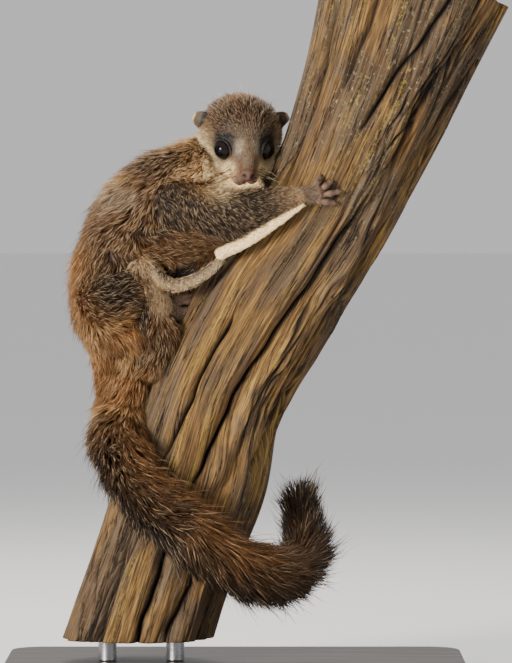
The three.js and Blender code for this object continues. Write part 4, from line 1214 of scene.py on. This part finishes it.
# The lie of the hair at each point of the skin
def lieOfCoat(points, kinds):
    rows = {**{name: part["rows"] for name, part in body.items()}, "tail": tail["rows"]}
    total, best = np.zeros(len(points)), np.zeros(len(points))
    lie = {"flow": np.zeros((len(points), 3)), "part": np.full(len(points), -1)}
    for key in ("length", *coatMeasures, "place", "turn"):
        lie[key] = np.zeros(len(points))
    for number, name in enumerate(rows):
        lengths, droop, *measures = coat[kindOf(name)]
        place, turn, closeness, along = alongPart(points, rows[name])
        if name == "tail":
            closeness /= np.interp(place, np.linspace(0, 1, len(tail["coreShare"])), tail["coreShare"])
        weight = np.maximum(closeness, 0.3) ** -7
        total += weight
        lie["flow"] += unit(along + np.array([0, 0, -droop])) * weight[:, None]
        lie["length"] += weight * np.interp(place, np.linspace(0, 1, len(lengths)), lengths)
        for key, measure in zip(coatMeasures, measures):
            lie[key] += weight * measure
        closest = weight > best
        best = np.maximum(best, weight)
        for key, value in (("part", number), ("place", place), ("turn", turn)):
            lie[key] = np.where(closest, value, lie[key])
    for key in ("length", *coatMeasures):
        lie[key] /= total
    lieOfHead(points, kinds, lie)
    lieOfEars(points, kinds, lie)
    lieOfPaws(points, kinds, lie)
    lie["flow"] = unit(lie["flow"])
    return lie


def setLie(lie, own, **values):
    for key, value in values.items():
        lie[key][own] = value


# On the head the hair leaves the nose and runs back, parting round the eyes
def lieOfHead(points, kinds, lie):
    own = np.isin(kinds, headKinds)
    place = inHead(points[own])
    flow = unit(place - np.array(head["flow"]["from"])) + np.array([-head["flow"]["back"], 0, 0])
    nearEye = np.zeros(len(place))
    for centre in mirrored(head["eye"]["at"]):
        off = place - centre
        distance = np.linalg.norm(off, axis=1)
        flow += unit(off) * bell(distance - 6, 5)[:, None] * 0.9
        nearEye = np.maximum(nearEye, bell(distance - head["eye"]["radius"], 3.8))
    forward, side, up = place.T
    length = np.interp(forward, (-25, -8, 4, 14, 22, 29), (10, 6.6, 4.8, 2.8, 1.4, 0.8))
    cheek = np.exp(-((forward / 11) ** 2) - ((up + 10) / 11) ** 2)
    chin = bell(up + 20, 6) * np.clip((22 - forward) / 6, 0, 1)
    length = (length + 5 * cheek + 3 * chin) * (1 - 0.66 * nearEye)
    # the cheeks' hair turns out and down into the ruff
    turned = np.stack([np.zeros(len(up)), 0.9 * np.sign(side), np.full(len(up), -0.5)], 1)
    flow = unit(flow) + cheek[:, None] * turned
    setLie(
        lie, own, flow=unit(flow) @ headBasis, length=length,
        wide=np.interp(length, (1, 3, 8), (0.085, 0.13, 0.22)),
        lift=np.interp(forward, (-25, 5, 25), (36, 28, 15)) + 6 * cheek,
        density=np.interp(length, (1, 3, 8), (5.2, 3.6, 1.8)),
        grizzle=np.interp(up, (-10, 4, 14), (0.15, 0.7, 0.4)) * (1 - nearEye),
        place=ramp(forward, -30, 62), turn=np.degrees(np.arctan2(up + 3, side)) % 360,
    )


def lieOfEars(points, kinds, lie):
    for kind, side in zip(earKinds, (-1, 1)):
        own = kinds == kind
        root, tip = (onSide(head["ear"][end], side) for end in ("root", "tip"))
        outward = unit(tip - root)
        off = inHead(points[own]) - root
        setLie(
            lie, own, flow=outward @ headBasis, length=1.5, wide=0.08, lift=14, density=2.4, grizzle=0.3,
            place=np.clip(off @ outward / np.linalg.norm(tip - root), 0, 1),
            turn=np.degrees(np.arctan2(off[:, 2], off[:, 0])) % 360,
        )


# Short hair on hands and feet, thinner towards the tips of the digits
def lieOfPaws(points, kinds, lie):
    for kind, name in zip(pawKinds, pawNames):
        own = kinds == kind
        reach = np.linalg.norm(points[own] - np.array(paws[name]["root"]), axis=1)
        length = np.interp(reach, (2, 10, 16, 26), (4.2, 3.0, 1.8, 1.2))
        setLie(
            lie, own, length=length, wide=np.interp(length, (1.2, 4), (0.085, 0.15)), lift=22,
            density=np.interp(reach, (6, 14, 24), (8, 6, 2)), grizzle=0.4,
        )


def asLinear(tones):
    values = {name: np.array(tone) / 255 for name, tone in tones.items()}
    return {
        name: np.where(value > 0.04045, ((value + 0.055) / 1.055) ** 2.4, value / 12.92)
        for name, value in values.items()
    }


furTones = asLinear({
    "brown": (103, 72, 42), "umber": (78, 55, 34), "chestnut": (66, 43, 25), "rust": (126, 84, 44),
    "orange": (160, 110, 60), "dark": (44, 34, 26), "black": (24, 20, 18), "ash": (116, 100, 82),
    "pearl": (190, 176, 154), "cream": (246, 224, 180), "buff": (172, 136, 90), "blush": (112, 84, 70),
    "drab": (158, 132, 100), "soot": (62, 48, 36),
})

# Patches of one tone, each with its middle and its reach: in the head's frame, and on the body in side
# view, as x and z. The short hair of flaps, fold edges and shanks shows little of them, or a given share
markings = {
    "head": [
        ("chestnut", (-6, 0, 22), (25, 27, 14)),
        ("rust", (-18, 0, 23), (10, 20, 6)),
        ("ash", (7, 0, 12), (9, 14, 7)),
        ("pearl", (14, 5, 6), (5, 4, 6)),
        ("drab", (0, 21, 5), (8, 8, 6)),
        ("cream", (-2, 24, -5), (13, 12, 9)),
        ("cream", (5, 18, -14), (15, 13, 9)),
        ("cream", (12, 4, -20), (15, 14, 7)),
        ("cream", (17, 10, -8), (8, 5, 7)),
        ("buff", (-18, 16, -16), (10, 14, 12)),
        ("ash", (20, 0, 1.5), (7, 4.4, 7)),
        ("blush", (27.5, 0, -9.5), (5.5, 8.5, 5.5)),
        ("black", (6.2, 12.6, 4), (12, 10, 12)),
    ],
    "body": [
        ("umber", (-86, 298), (24, 26)),
        ("rust", (-104, 262), (14, 44)),
        ("rust", (-76, 200), (26, 26)),
        # partly orange fur, partly a painted highlight on the rump
        ("orange", (-68, 229), (13, 8)),
        ("dark", (-80, 256), (17, 19)),
        ("dark", (-60, 240), (8, 10)),
        ("buff", (-68, 214), (6, 8)),
        # painted shade of a small hollow in the rump's fur
        ("dark", (-60, 213), (5, 5)),
        ("umber", (-50, 222), (11, 14), 1),
        # painted shadow in the hollow between the flank and the fold's edge
        ("black", (-34, 266), (15, 6)),
        ("dark", (-54, 294), (12, 4)),
        ("ash", (-68, 316), (13, 8)),
        ("umber", (-50, 336), (26, 12)),
        ("buff", (-15, 330), (15, 14)),
        ("cream", (-9, 329), (10, 13)),
        ("buff", (-74, 172), (14, 7)),
    ],
}
# tones that parts start with, where that isn't brown
partTones = {
    "throat": "cream", "belly": "umber", "flap": "cream", "shank": "drab",
    "upperArm": "soot", "forearm": "soot",
}


def blobShare(place, at, reach):
    squares = (((place - at) / reach) ** 2).sum(1)
    return np.clip(1.6 * np.exp(-squares * 1.4), 0, 1)[:, None]


def towards(tones, name, share):
    return tones + (furTones[name] - tones) * share


# Fur colour at each point of the skin
def markingsOf(points, kinds, lie):
    names = [*body, "tail"]
    tones = np.tile(furTones["brown"], (len(points), 1))
    turn, place, part = lie["turn"], lie["place"], lie["part"]
    # the belly and the inner sides face the trunk, at turn 0, and are pale
    ventral = np.clip(np.cos(np.radians(turn)) * 1.7 - 0.75, 0, 1)[:, None]
    for number, name in enumerate(names):
        own = part == number
        kind = kindOf(name)
        if kind in partTones:
            tones[own] = furTones[partTones[kind]]
        if kind in ("torso", "thigh"):
            tones[own] = towards(tones[own], "buff", ventral[own])
        if kind == "forearm":
            tones[own] = towards(tones[own], "drab", ramp(place[own], 0.55, 0.4)[:, None])
        if kind == "foldEdge":
            # grey along its top, paler below
            rows = sorted((row[0], row[2]) for row in body[name]["rows"])
            height = points[own, 2] - np.interp(points[own, 0], *zip(*rows))
            below = np.clip(0.55 - height / 5, 0, 1)[:, None]
            tones[own] = towards(furTones["ash"], "cream", below * 0.36)
    onBody = (kinds == 0) & (part != names.index("tail"))
    short = [number for number, name in enumerate(names) if kindOf(name) in ("flap", "foldEdge", "shank")]
    isShort = np.isin(part[onBody], short)[:, None]
    for tone, at, reach, *onShort in markings["body"]:
        share = blobShare(points[onBody][:, [0, 2]], at, reach) * np.where(isShort, *(onShort or [0.15]), 1)
        tones[onBody] = towards(tones[onBody], tone, share)
    onTail = part == names.index("tail")
    tones[onTail] = tailTones(place[onTail], turn[onTail])
    own = np.isin(kinds, headKinds)
    inside = inHead(points[own])
    inside[:, 1] = np.abs(inside[:, 1])
    tones[own] = furTones["brown"]
    for tone, at, reach in markings["head"]:
        tones[own] = towards(tones[own], tone, blobShare(inside, at, reach))
    # ears: black near the root as painted shade in their hollow, ash further out, and pearl at the rim,
    # partly pale hair and partly a painted highlight
    ears = np.isin(kinds, earKinds)
    clearOfEarShade = ramp(place[ears], 0.5, 0.16)[:, None]
    rim = ramp(place[ears], 0.85, 0.13)[:, None]
    tones[ears] = towards(towards(furTones["black"], "ash", clearOfEarShade * 0.8), "pearl", rim)
    tones[np.isin(kinds, pawKinds)] = furTones["ash"]
    return tones


# The tail is brown, black-brown on the side next to the trunk and towards its end, with a rusty fringe; the
# black-brown is partly the hair's own colour and partly painted shade
def tailTones(place, turn):
    root = bell(place, 0.19)[:, None]
    tones = towards(np.tile(furTones["umber"], (len(place), 1)), "brown", root)
    facing = np.cos(np.radians(turn - 10))
    tones = towards(tones, "black", np.clip(facing * 1.3, 0, 1)[:, None] * 0.9 * (1 - root))
    tones = towards(tones, "rust", np.clip(-facing - 0.2, 0, 1)[:, None] * 0.75)
    return towards(tones, "dark", ramp(place, 0.62, 0.3)[:, None] * 0.75)


# Bare skin of the head, each place with its middle, its reach, and how far it is wholly bare
bareSpots = [((29, 0, -6.6), (4.4, 4.9, 3.9), 1.6), ((27, 0, -15.2), (3.2, 6.4, 3.2), 1.5)]
bareTones = asLinear({
    "nose": (110, 86, 76), "paw": (112, 90, 76), "lid": (22, 19, 18), "lidEdge": (74, 66, 62),
})


def bareness(points, kinds):
    bare = np.zeros(len(points))
    own = np.isin(kinds, headKinds)
    place = inHead(points[own])
    shares = [
        np.clip(full - np.linalg.norm((place - at) / reach, axis=1), 0, 1) for at, reach, full in bareSpots
    ]
    for centre in mirrored(head["eye"]["at"]):
        distance = np.linalg.norm(place - centre, axis=1)
        shares.append(np.clip((head["eye"]["radius"] + 0.8 - distance) / 0.4, 0, 1))
    bare[own] = np.max(shares, axis=0)
    for kind, name in zip(pawKinds, pawNames):
        own = kinds == kind
        reach = np.linalg.norm(points[own] - np.array(paws[name]["root"]), axis=1)
        bare[own] = np.interp(reach, (3, 14), (0.3, 1))
    return bare


def bareTonesOf(points, kinds):
    tones = np.tile(bareTones["nose"], (len(points), 1))
    tones[np.isin(kinds, pawKinds)] = bareTones["paw"]
    own = np.isin(kinds, headKinds)
    place = inHead(points)
    for centre in mirrored(head["eye"]["at"]):
        distance = np.linalg.norm(place - centre, axis=1)
        for name, width in (("lid", 3), ("lidEdge", 0.16)):
            tones[own & (distance < head["eye"]["radius"] + width)] = bareTones[name]
    # the nostrils are darkened to the dark lid tone, painted shade inside them
    for centre in mirrored(head["nostril"]["at"]):
        distance = np.linalg.norm(place - centre, axis=1)
        deep = np.clip(1.9 - distance / head["nostril"]["radius"], 0, 1)[:, None] * own[:, None]
        tones = tones + (bareTones["lid"] - tones) * deep
    return tones


# A tree that tells how far points are inside a closed mesh
def treeOf(points, triangles):
    return BVHTree.FromPolygons(points.tolist(), triangles.tolist())


# Signed distances from a tree's surface, below zero inside, with the surface's normals; far points get 99
def depthIn(tree, points, far):
    distances = np.full(len(points), 99.0)
    normals = np.zeros((len(points), 3))
    for number, point in enumerate(points):
        place, normal, face, distance = tree.find_nearest(point.tolist(), far)
        if place is not None:
            inside = (Vector(point) - place).dot(normal) < 0
            distances[number] = -distance if inside else distance
            normals[number] = normal
    return distances, normals


# Roots of tufts on the triangles where they may grow, more of them where the coat is denser
def sowRoots(skinData, wanted, count):
    points, triangles, normals, lie = (skinData[key] for key in ("points", "triangles", "normals", "lie"))
    corners = points[triangles]
    areas = np.linalg.norm(np.cross(corners[:, 1] - corners[:, 0], corners[:, 2] - corners[:, 0]), axis=1) / 2
    weights = areas * lie["density"][triangles].mean(1) * wanted[triangles].all(1)
    limit = min(count, int(weights.sum()))
    chosen = dice.choice(len(triangles), limit, p=weights / weights.sum())
    share = dice.random((limit, 2))
    fold = share.sum(1) > 1
    share[fold] = 1 - share[fold]
    share = np.stack([1 - share.sum(1), share[:, 0], share[:, 1]], 1)[..., None]
    blend = lambda values: (values[triangles[chosen]].reshape(limit, 3, -1) * share).sum(1)
    nearest = triangles[chosen, share[..., 0].argmax(1)]
    roots = {"at": blend(points), "normal": unit(blend(normals)), "flow": blend(lie["flow"])}
    roots["tone"] = blend(skinData["tones"])
    for key in ("length", "wide", "lift", "grizzle"):
        roots[key] = blend(lie[key])[:, 0]
    for key in ("place", "turn", "part"):
        roots[key] = lie[key][nearest]
    roots["kind"] = skinData["kinds"][nearest]
    return roots


tuft = {
    "waves": ((0.34, 21, 0.11), (0.3, 22, 0.4), (0.2, 24, 1.1)),   # of the sway: size, seed, scale
    "length": (0.72, 1.15), "width": (0.75, 1.25),                 # shares of what the lie gives
    "guardWidth": 0.7, "guardLift": 5,
    "liftSpread": 5, "sideBend": 0.1, "sag": 0.34,
    "sunkMost": 0.5, "sunkShare": 0.12,                            # how deep its root lies in the skin
    "gather": (0.15, 0.75), "gatherMost": 0.4,                     # how far its tip leans to its clump
    "offWood": 0.5,
    "outline": ((0, 0.3, 0.7, 1), (0.75, 1, 0.72, 0)), "flatness": 0.6,
    "patch": 0.003,                                                # width of its patch on the bake map
    # the gamma below darkens the roots, partly for dark underfur and partly as painted shade
    "underfurAndShade": 1.55,                                              # gamma that darkens it
    "paleAndLitTip": (0.66, 0.47, 0.28), "darkTip": (0.3, 0.27, 0.26),
    "darkShare": 0.16,                                             # of the tufts
}


# Closed three-sided tufts that leave the skin, bend over along the flow and end in a point
def growTufts(name, roots, options, trunkTree):
    at, normal, flow, length = roots["at"], roots["normal"], roots["flow"], roots["length"]
    count = len(at)
    flow = unit(flow - normal * (flow * normal).sum(1)[:, None])
    aside = np.cross(normal, flow)
    # neighbouring tufts lean together, and each leans a little its own way
    sway = sum(size * unevenness(seed, 8, *(at.T * scale)) for size, seed, scale in tuft["waves"])
    sway = sway + dice.normal(0, options["sway"], count)
    flow = unit(flow + aside * sway[:, None])
    guard = dice.random(count) < options["guards"]
    length = length * dice.uniform(*tuft["length"], count) * (1 + 0.1 * unevenness(23, 6, *(at.T * 0.2)))
    length = np.where(guard, length * options["guardLength"], length)
    lift = np.radians(roots["lift"] + dice.normal(0, tuft["liftSpread"], count) + tuft["guardLift"] * guard)
    wide = roots["wide"] * dice.uniform(*tuft["width"], count) * np.where(guard, tuft["guardWidth"], 1)
    sideBend = dice.normal(0, tuft["sideBend"], count) * length
    steps = np.linspace(0, 1, options["bends"] + 1)
    rise, run = np.sin(lift) * length, np.cos(lift) * length
    sunk = np.minimum(tuft["sunkMost"], tuft["sunkShare"] * length)
    paths = np.array([
        at + flow * (run * step)[:, None]
        + normal * (rise * (step - tuft["sag"] * step**2) - sunk * (1 - step))[:, None]
        + aside * (sideBend * step**2)[:, None]
        for step in steps
    ])
    paths = keepOffTrunk(gatherTips(paths, at, steps, options["perClump"]), trunkTree)
    return strandMesh(name, paths, normal, wide, roots)


# A mesh of closed strands along their paths
def strandMesh(name, paths, normal, wide, roots):
    bends, count = len(paths) - 1, paths.shape[1]
    steps = np.linspace(0, 1, bends + 1)
    shape = np.interp(steps, *tuft["outline"])
    points = []
    for step in range(bends):
        along = unit(paths[step + 1] - paths[max(step - 1, 0)])
        across = unit(np.cross(normal, along))
        over = np.cross(along, across)
        half = (wide * shape[step])[:, None]
        for turn in np.radians((90, 210, 330)):
            points.append(
                paths[step] + across * half * math.cos(turn) + over * half * tuft["flatness"] * math.sin(turn)
            )
    points.append(paths[bends])
    points = np.array(points).transpose(1, 0, 2)
    each = points.shape[1]
    faces = [(0, 2, 1)]
    for step in range(bends - 1):
        base = step * 3
        for corner in range(3):
            here, beside = base + corner, base + (corner + 1) % 3
            faces += [(here, beside, beside + 3), (here, beside + 3, here + 3)]
    base = (bends - 1) * 3
    faces += [(base + corner, base + (corner + 1) % 3, base + 3) for corner in range(3)]
    faces = np.array(faces)
    triangles = (np.arange(count)[:, None, None] * each + faces[None]).reshape(-1, 3)
    made = bigObject(name, points.reshape(-1, 3) * mm, triangles)
    putOnPoints(made, "furColour", np.repeat(roots["tone"], each, axis=0), "FLOAT_COLOR")
    reach = np.concatenate([np.repeat(steps[:-1], 3), [1]])
    putOnPoints(made, "tipward", np.tile(reach, count))
    putOnPoints(made, "odd", np.repeat(dice.random(count), each))
    putOnPoints(made, "grizzle", np.repeat(roots["grizzle"], each))
    putPatches(made, roots, reach, triangles, each)
    return made


def treeOfPlaces(places):
    tree = KDTree(len(places))
    for number, place in enumerate(places):
        tree.insert(place, number)
    tree.balance()
    return tree


# Whiskers, brow hairs and the long hairs of the crown and the nape, each a thin strand that sags a little
def makeWhiskers(skinData, material):
    own = np.flatnonzero(skinData["kinds"] == headKinds[0])
    tree = treeOfPlaces(skinData["points"][own])
    chosen, aims, lengths, wides, tones = [], [], [], [], []
    for group in head["whiskers"]:
        for side in (-1, 1):
            for _ in range(group["count"]):
                spot = np.array(group["from"]) + dice.normal(0, 1, 3) * group["spread"]
                aim = unit(np.array(group["toward"]) + dice.normal(0, group["fan"], 3))
                spot[1] *= side
                aim[1] *= side
                chosen.append(own[tree.find(onHead(spot))[1]])
                aims.append(aim @ headBasis)
                lengths.append(dice.uniform(*group["length"]))
                wides.append(group["wide"])
                tones.append(furTones[group["tone"]])
    at, aims, lengths = skinData["points"][chosen], np.array(aims), np.array(lengths)[:, None]
    steps = np.linspace(0, 1, 8)
    bow = unit(np.cross(aims, dice.normal(0, 1, aims.shape)))
    sag = np.array([0, 0, 0.1])
    paths = np.array([
        at + aims * lengths * (step - 0.06) + bow * lengths * 0.12 * step**2 - sag * lengths * step**2
        for step in steps
    ])
    roots = {
        "at": at, "tone": np.array(tones), "grizzle": np.zeros(len(at)),
        "unwrapU": skinData["lie"]["place"][chosen], "unwrapV": skinData["lie"]["turn"][chosen] / 360,
    }
    made = strandMesh("whiskers", paths, bow, np.array(wides), roots)
    made.data.materials.append(material)
    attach(made, "root")
    return len(made.data.polygons)


# Tips of one clump lean to each other
def gatherTips(paths, at, steps, perClump):
    pieces = max(1, int(len(at) / perClump))
    middles = dice.choice(len(at), pieces, replace=False)
    tree = treeOfPlaces(at[middles])
    nearest = np.array([tree.find(place)[1] for place in at])
    strength = dice.uniform(*tuft["gather"], len(at))
    pull = paths[-1][middles][nearest] - paths[-1]
    limit = tuft["gatherMost"] * np.linalg.norm(paths[-1] - paths[0], axis=1)
    size = np.linalg.norm(pull, axis=1)
    pull *= np.minimum(1, limit / np.maximum(size, 1e-6))[:, None]
    return paths + pull[None] * strength[None, :, None] * (steps**1.5)[:, None, None]


# Points that would lie in the wood move out of it
def keepOffTrunk(paths, trunkTree):
    for step in range(1, len(paths)):
        depths, normals = depthIn(trunkTree, paths[step], 14)
        inside = depths < tuft["offWood"]
        paths[step][inside] += normals[inside] * (tuft["offWood"] - depths[inside])[:, None]
    return paths


# Each tuft is a small patch on the bake map, at its root's place on an unwrap of the skin
def putPatches(made, roots, reach, triangles, each):
    patch = tuft["patch"]
    count = len(roots["at"])
    u = np.clip(roots["unwrapU"], 0.002, 0.998 - patch)
    v = np.clip(roots["unwrapV"], 0.002, 0.998 - patch)
    across = np.concatenate([np.tile((0.5, 0.0, 1.0), (each - 1) // 3), [0.5]])
    cornerU = np.repeat(u, each) + patch * np.tile(across, count)
    cornerV = np.repeat(v, each) + patch * np.tile(reach, count)
    layer = made.data.uv_layers.new(name="OFBake")
    corners = triangles.ravel()
    layer.data.foreach_set("uv", np.stack([cornerU[corners], cornerV[corners]], 1).astype(np.float32).ravel())


# Shader groups that skin and coat share
def newGroup(name, inputs, outputs):
    tree = bpy.data.node_groups.new(name, "ShaderNodeTree")
    for label, kind, value in inputs:
        socket = tree.interface.new_socket(name=label, in_out="INPUT", socket_type=kind)
        socket.default_value = value
    for label, kind in outputs:
        tree.interface.new_socket(name=label, in_out="OUTPUT", socket_type=kind)
    painter = Painter(tree)
    return tree, painter, painter.node("NodeGroupInput"), painter.node("NodeGroupOutput")


# Banded, grizzled hair: dark roots, partly the underfur's own colour and partly painted shade deep in the
# coat, the coat's own tone, and pale or dark tips on some of the hairs, the pale ones partly real grizzle and
# partly painted light
def makeFurTone():
    tree, painter, given, result = newGroup(
        "furTone",
        [
            ("Fur", "NodeSocketColor", (0.1, 0.06, 0.04, 1)), ("Tipward", "NodeSocketFloat", 0.5),
            ("Odd", "NodeSocketFloat", 0.5), ("Grizzle", "NodeSocketFloat", 0.3),
        ],
        [("Colour", "NodeSocketColor")],
    )
    fur, tipward, odd, grizzle = (given.outputs[label] for label in ("Fur", "Tipward", "Odd", "Grizzle"))
    under = painter.node("ShaderNodeGamma", {"Color": fur, "Gamma": tuft["underfurAndShade"]}).outputs[0]
    tone = painter.mix(painter.span(tipward, 0.02, 0.5), under, fur)
    spread = painter.span(painter.math("FRACT", painter.times(odd, 7.31)), 0, 1, 0.66, 1.36)
    shade = painter.node("ShaderNodeCombineColor", {0: spread, 1: spread, 2: spread}).outputs[0]
    tone = painter.mix(1.0, tone, shade, "MULTIPLY")
    isPale = painter.times(painter.math("LESS_THAN", odd, grizzle), painter.span(tipward, 0.35, 0.6))
    # pale tips: partly the grizzle's own colour, partly painted light on the tips
    tone = painter.mix(isPale, tone, painter.mix(0.4, fur, tuft["paleAndLitTip"]))
    darkOnes = painter.math("GREATER_THAN", odd, 1 - tuft["darkShare"])
    isDark = painter.times(darkOnes, painter.span(tipward, 0.45, 0.9))
    tone = painter.mix(isDark, tone, painter.mix(1.0, fur, tuft["darkTip"], "MULTIPLY"))
    painter.feed(result, {"Colour": tone})
    return tree


def furTint(painter, furTone, tipward, odd):
    fur, grizzle = painter.attribute("furColour", "Color"), painter.attribute("grizzle")
    values = {"Fur": fur, "Tipward": tipward, "Odd": odd, "Grizzle": grizzle}
    return painter.node("ShaderNodeGroup", values, node_tree=furTone).outputs["Colour"]


def furMaterial(furTone, name):
    material, painter, shader = newMaterial(name, {"Roughness": 0.55, "Specular IOR Level": 0.22})
    tone = furTint(painter, furTone, painter.attribute("tipward"), painter.attribute("odd"))
    painter.feed(shader, {"Base Color": tone})
    return material


# Skin: the underfur where the coat grows, as dark as the roots so that it is partly painted shade between the
# tufts, and creased bare skin on nose, lips, lids, hands and feet
def skinMaterial(furTone):
    material, painter, shader = newMaterial("skinUnderfurAndShade", {"Roughness": 0.6, "Specular IOR Level": 0.4})
    place = painter.objectPlace()
    fine = painter.noise(place, (900, 900, 900), 4)
    broad = painter.noise(place, (160, 160, 160), 3)
    # the skin between the tufts takes the dark root tone, painted shade in the gaps of the coat
    under = furTint(painter, furTone, painter.span(fine, 0.3, 0.7, 0.0, 0.25), painter.span(broad, 0.2, 0.8))
    bareTone = painter.attribute("bareTone", "Color")
    flush = painter.mix(1.0, bareTone, (1.15, 0.78, 0.72), "MULTIPLY")
    flushed = painter.mix(painter.span(broad, 0.3, 0.7, 0.0, 0.7), bareTone, flush)
    dusk = painter.mix(1.0, bareTone, (0.5, 0.42, 0.4), "MULTIPLY")
    speckled = painter.mix(painter.span(fine, 0.45, 0.75, 0.0, 0.6), flushed, dusk)
    painter.feed(shader, {"Base Color": painter.mix(painter.attribute("bareness"), under, speckled)})
    creases = painter.node("ShaderNodeTexVoronoi", {
        "Vector": painter.stretched(place, (1500, 1500, 1500)), "Scale": 1.0,
    }, feature="DISTANCE_TO_EDGE").outputs[0]
    height = painter.math("ADD", painter.span(creases, 0.0, 0.25), painter.times(fine, 0.8))
    painter.bump(shader, height, 0.35, 0.00025)
    return material


# Pieces of the coat, by parts of the body with a share of their length, or by islands of the skin
coatPieces = [
    {"name": "coatHead", "kinds": headKinds, "tufts": 17500, "sway": 0.14, "guards": 0.02, "perClump": 8},
    {"name": "coatEars", "kinds": earKinds, "tufts": 2400, "sway": 0.12, "guards": 0.04, "perClump": 7},
    {"name": "coatTorso_1", "parts": ("torso",), "to": 0.36, "tufts": 16000},
    {"name": "coatTorso_2", "parts": ("torso",), "from": 0.36, "to": 0.64, "tufts": 17500},
    {"name": "coatTorso_3", "parts": ("torso",), "from": 0.64, "tufts": 14500},
    {"name": "coatArms", "parts": ("upperArm", "forearm", "throat"), "kinds": (2, 3), "tufts": 15000},
    {"name": "coatLegs", "parts": ("thigh", "shank", "haunch"), "kinds": (4, 5), "tufts": 15500},
    {"name": "coatFlanks", "parts": ("foldRidge", "foldFill", "foldWeb", "belly"), "tufts": 10000},
    {"name": "coatFolds", "parts": ("flap", "foldEdge"), "tufts": 7000, "sway": 0.06,
     "guards": 0, "slot": "pale_coat"},
    *[
        {"name": f"coatTail_{number + 1}", "parts": ("tail",), "from": number / 4, "to": (number + 1) / 4,
         "tufts": 5500, "bends": 3, "perClump": 14, "slot": "tail_coat", "sway": 0.13}
        for number in range(4)
    ],
]
usual = {
    "parts": (), "kinds": (), "from": 0, "to": 1, "slot": "coat",
    "bends": 2, "sway": 0.16, "guards": 0.07, "guardLength": 1.6, "perClump": 14,
}


def makeCoat(skin, kinds):
    points = pointsOf(skin) / mm
    lie = lieOfCoat(points, kinds)
    skinData = {
        "points": points, "triangles": trianglesOf(skin), "normals": normalsOf(skin), "kinds": kinds,
        "lie": lie, "tones": markingsOf(points, kinds, lie),
    }
    bare = bareness(points, kinds)
    putOnPoints(skin, "furColour", skinData["tones"], "FLOAT_COLOR")
    putOnPoints(skin, "bareness", bare)
    putOnPoints(skin, "grizzle", lie["grizzle"])
    putOnPoints(skin, "bareTone", bareTonesOf(points, kinds), "FLOAT_COLOR")
    lie["density"] *= np.where(np.isin(kinds, pawKinds), 1, np.clip(1 - 1.6 * bare, 0, 1))
    trunkObject = bpy.data.objects["trunk"]
    trunkTree = treeOf(pointsOf(trunkObject) / mm, trianglesOf(trunkObject))
    hideBuried(skinData, trunkTree)
    furTone = makeFurTone()
    skin.data.materials.append(skinMaterial(furTone))
    furs = {
        "coat": furMaterial(furTone, "coatFur"),
        "tail_coat": furMaterial(furTone, "tailFur"),
        "pale_coat": furMaterial(furTone, "paleFur"),
    }
    names = [*body, "tail"]
    total = 0
    for settings in coatPieces:
        options = {**usual, **settings}
        strips = [number for number, name in enumerate(names) if kindOf(name) in options["parts"]]
        wanted = (kinds == 0) & np.isin(lie["part"], strips) | np.isin(kinds, options["kinds"])
        low, high = options["from"], options["to"]
        wanted &= (lie["place"] >= low) & ((lie["place"] < high) | (high == 1))
        roots = sowRoots(skinData, wanted, options["tufts"])
        # each part has a strip of its own on the bake map
        rows, own = (strips, roots["part"]) if strips else (options["kinds"], roots["kind"])
        row = np.array([rows.index(value) if value in rows else 0 for value in own])
        roots["unwrapU"] = (roots["place"] - low) / (high - low)
        roots["unwrapV"] = (row + roots["turn"] / 360) / len(rows)
        made = growTufts(options["name"], roots, options, trunkTree)
        made.data.materials.append(furs[options["slot"]])
        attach(made, "root")
        total += len(made.data.polygons)
        print(options["name"], len(roots["at"]), "tufts,", len(made.data.polygons), "triangles")
    total += makeWhiskers(skinData, furs["coat"])
    print("coat:", total, "triangles")


# No tuft grows where the skin lies in the wood or inside another part of the skin
def hideBuried(skinData, trunkTree):
    points, kinds, triangles = skinData["points"], skinData["kinds"], skinData["triangles"]
    depths = depthIn(trunkTree, points, 6)[0]
    skinData["lie"]["density"] = np.where(depths < 0.3, 0, skinData["lie"]["density"])
    faceKinds = kinds[triangles[:, 0]]
    for kind in range(int(kinds.max()) + 1):
        own = triangles[faceKinds == kind]
        tree = treeOf(points, own)
        low, high = points[kinds == kind].min(0), points[kinds == kind].max(0)
        near = (kinds != kind) & (points > low).all(1) & (points < high).all(1)
        depths = depthIn(tree, points[near], 30)[0]
        buried = np.flatnonzero(near)[depths < 0.2]
        skinData["lie"]["density"][buried] = 0


makeCamera()
makeStage()
print("camera, floor and lamps are in place")
makeTrunk()
makeStand()
print("trunk and stand are made")
skin, kinds = makeSkin()
makeEyes()
makeClaws()
print("skin, eyes and claws are made")
makeCoat(skin, kinds)
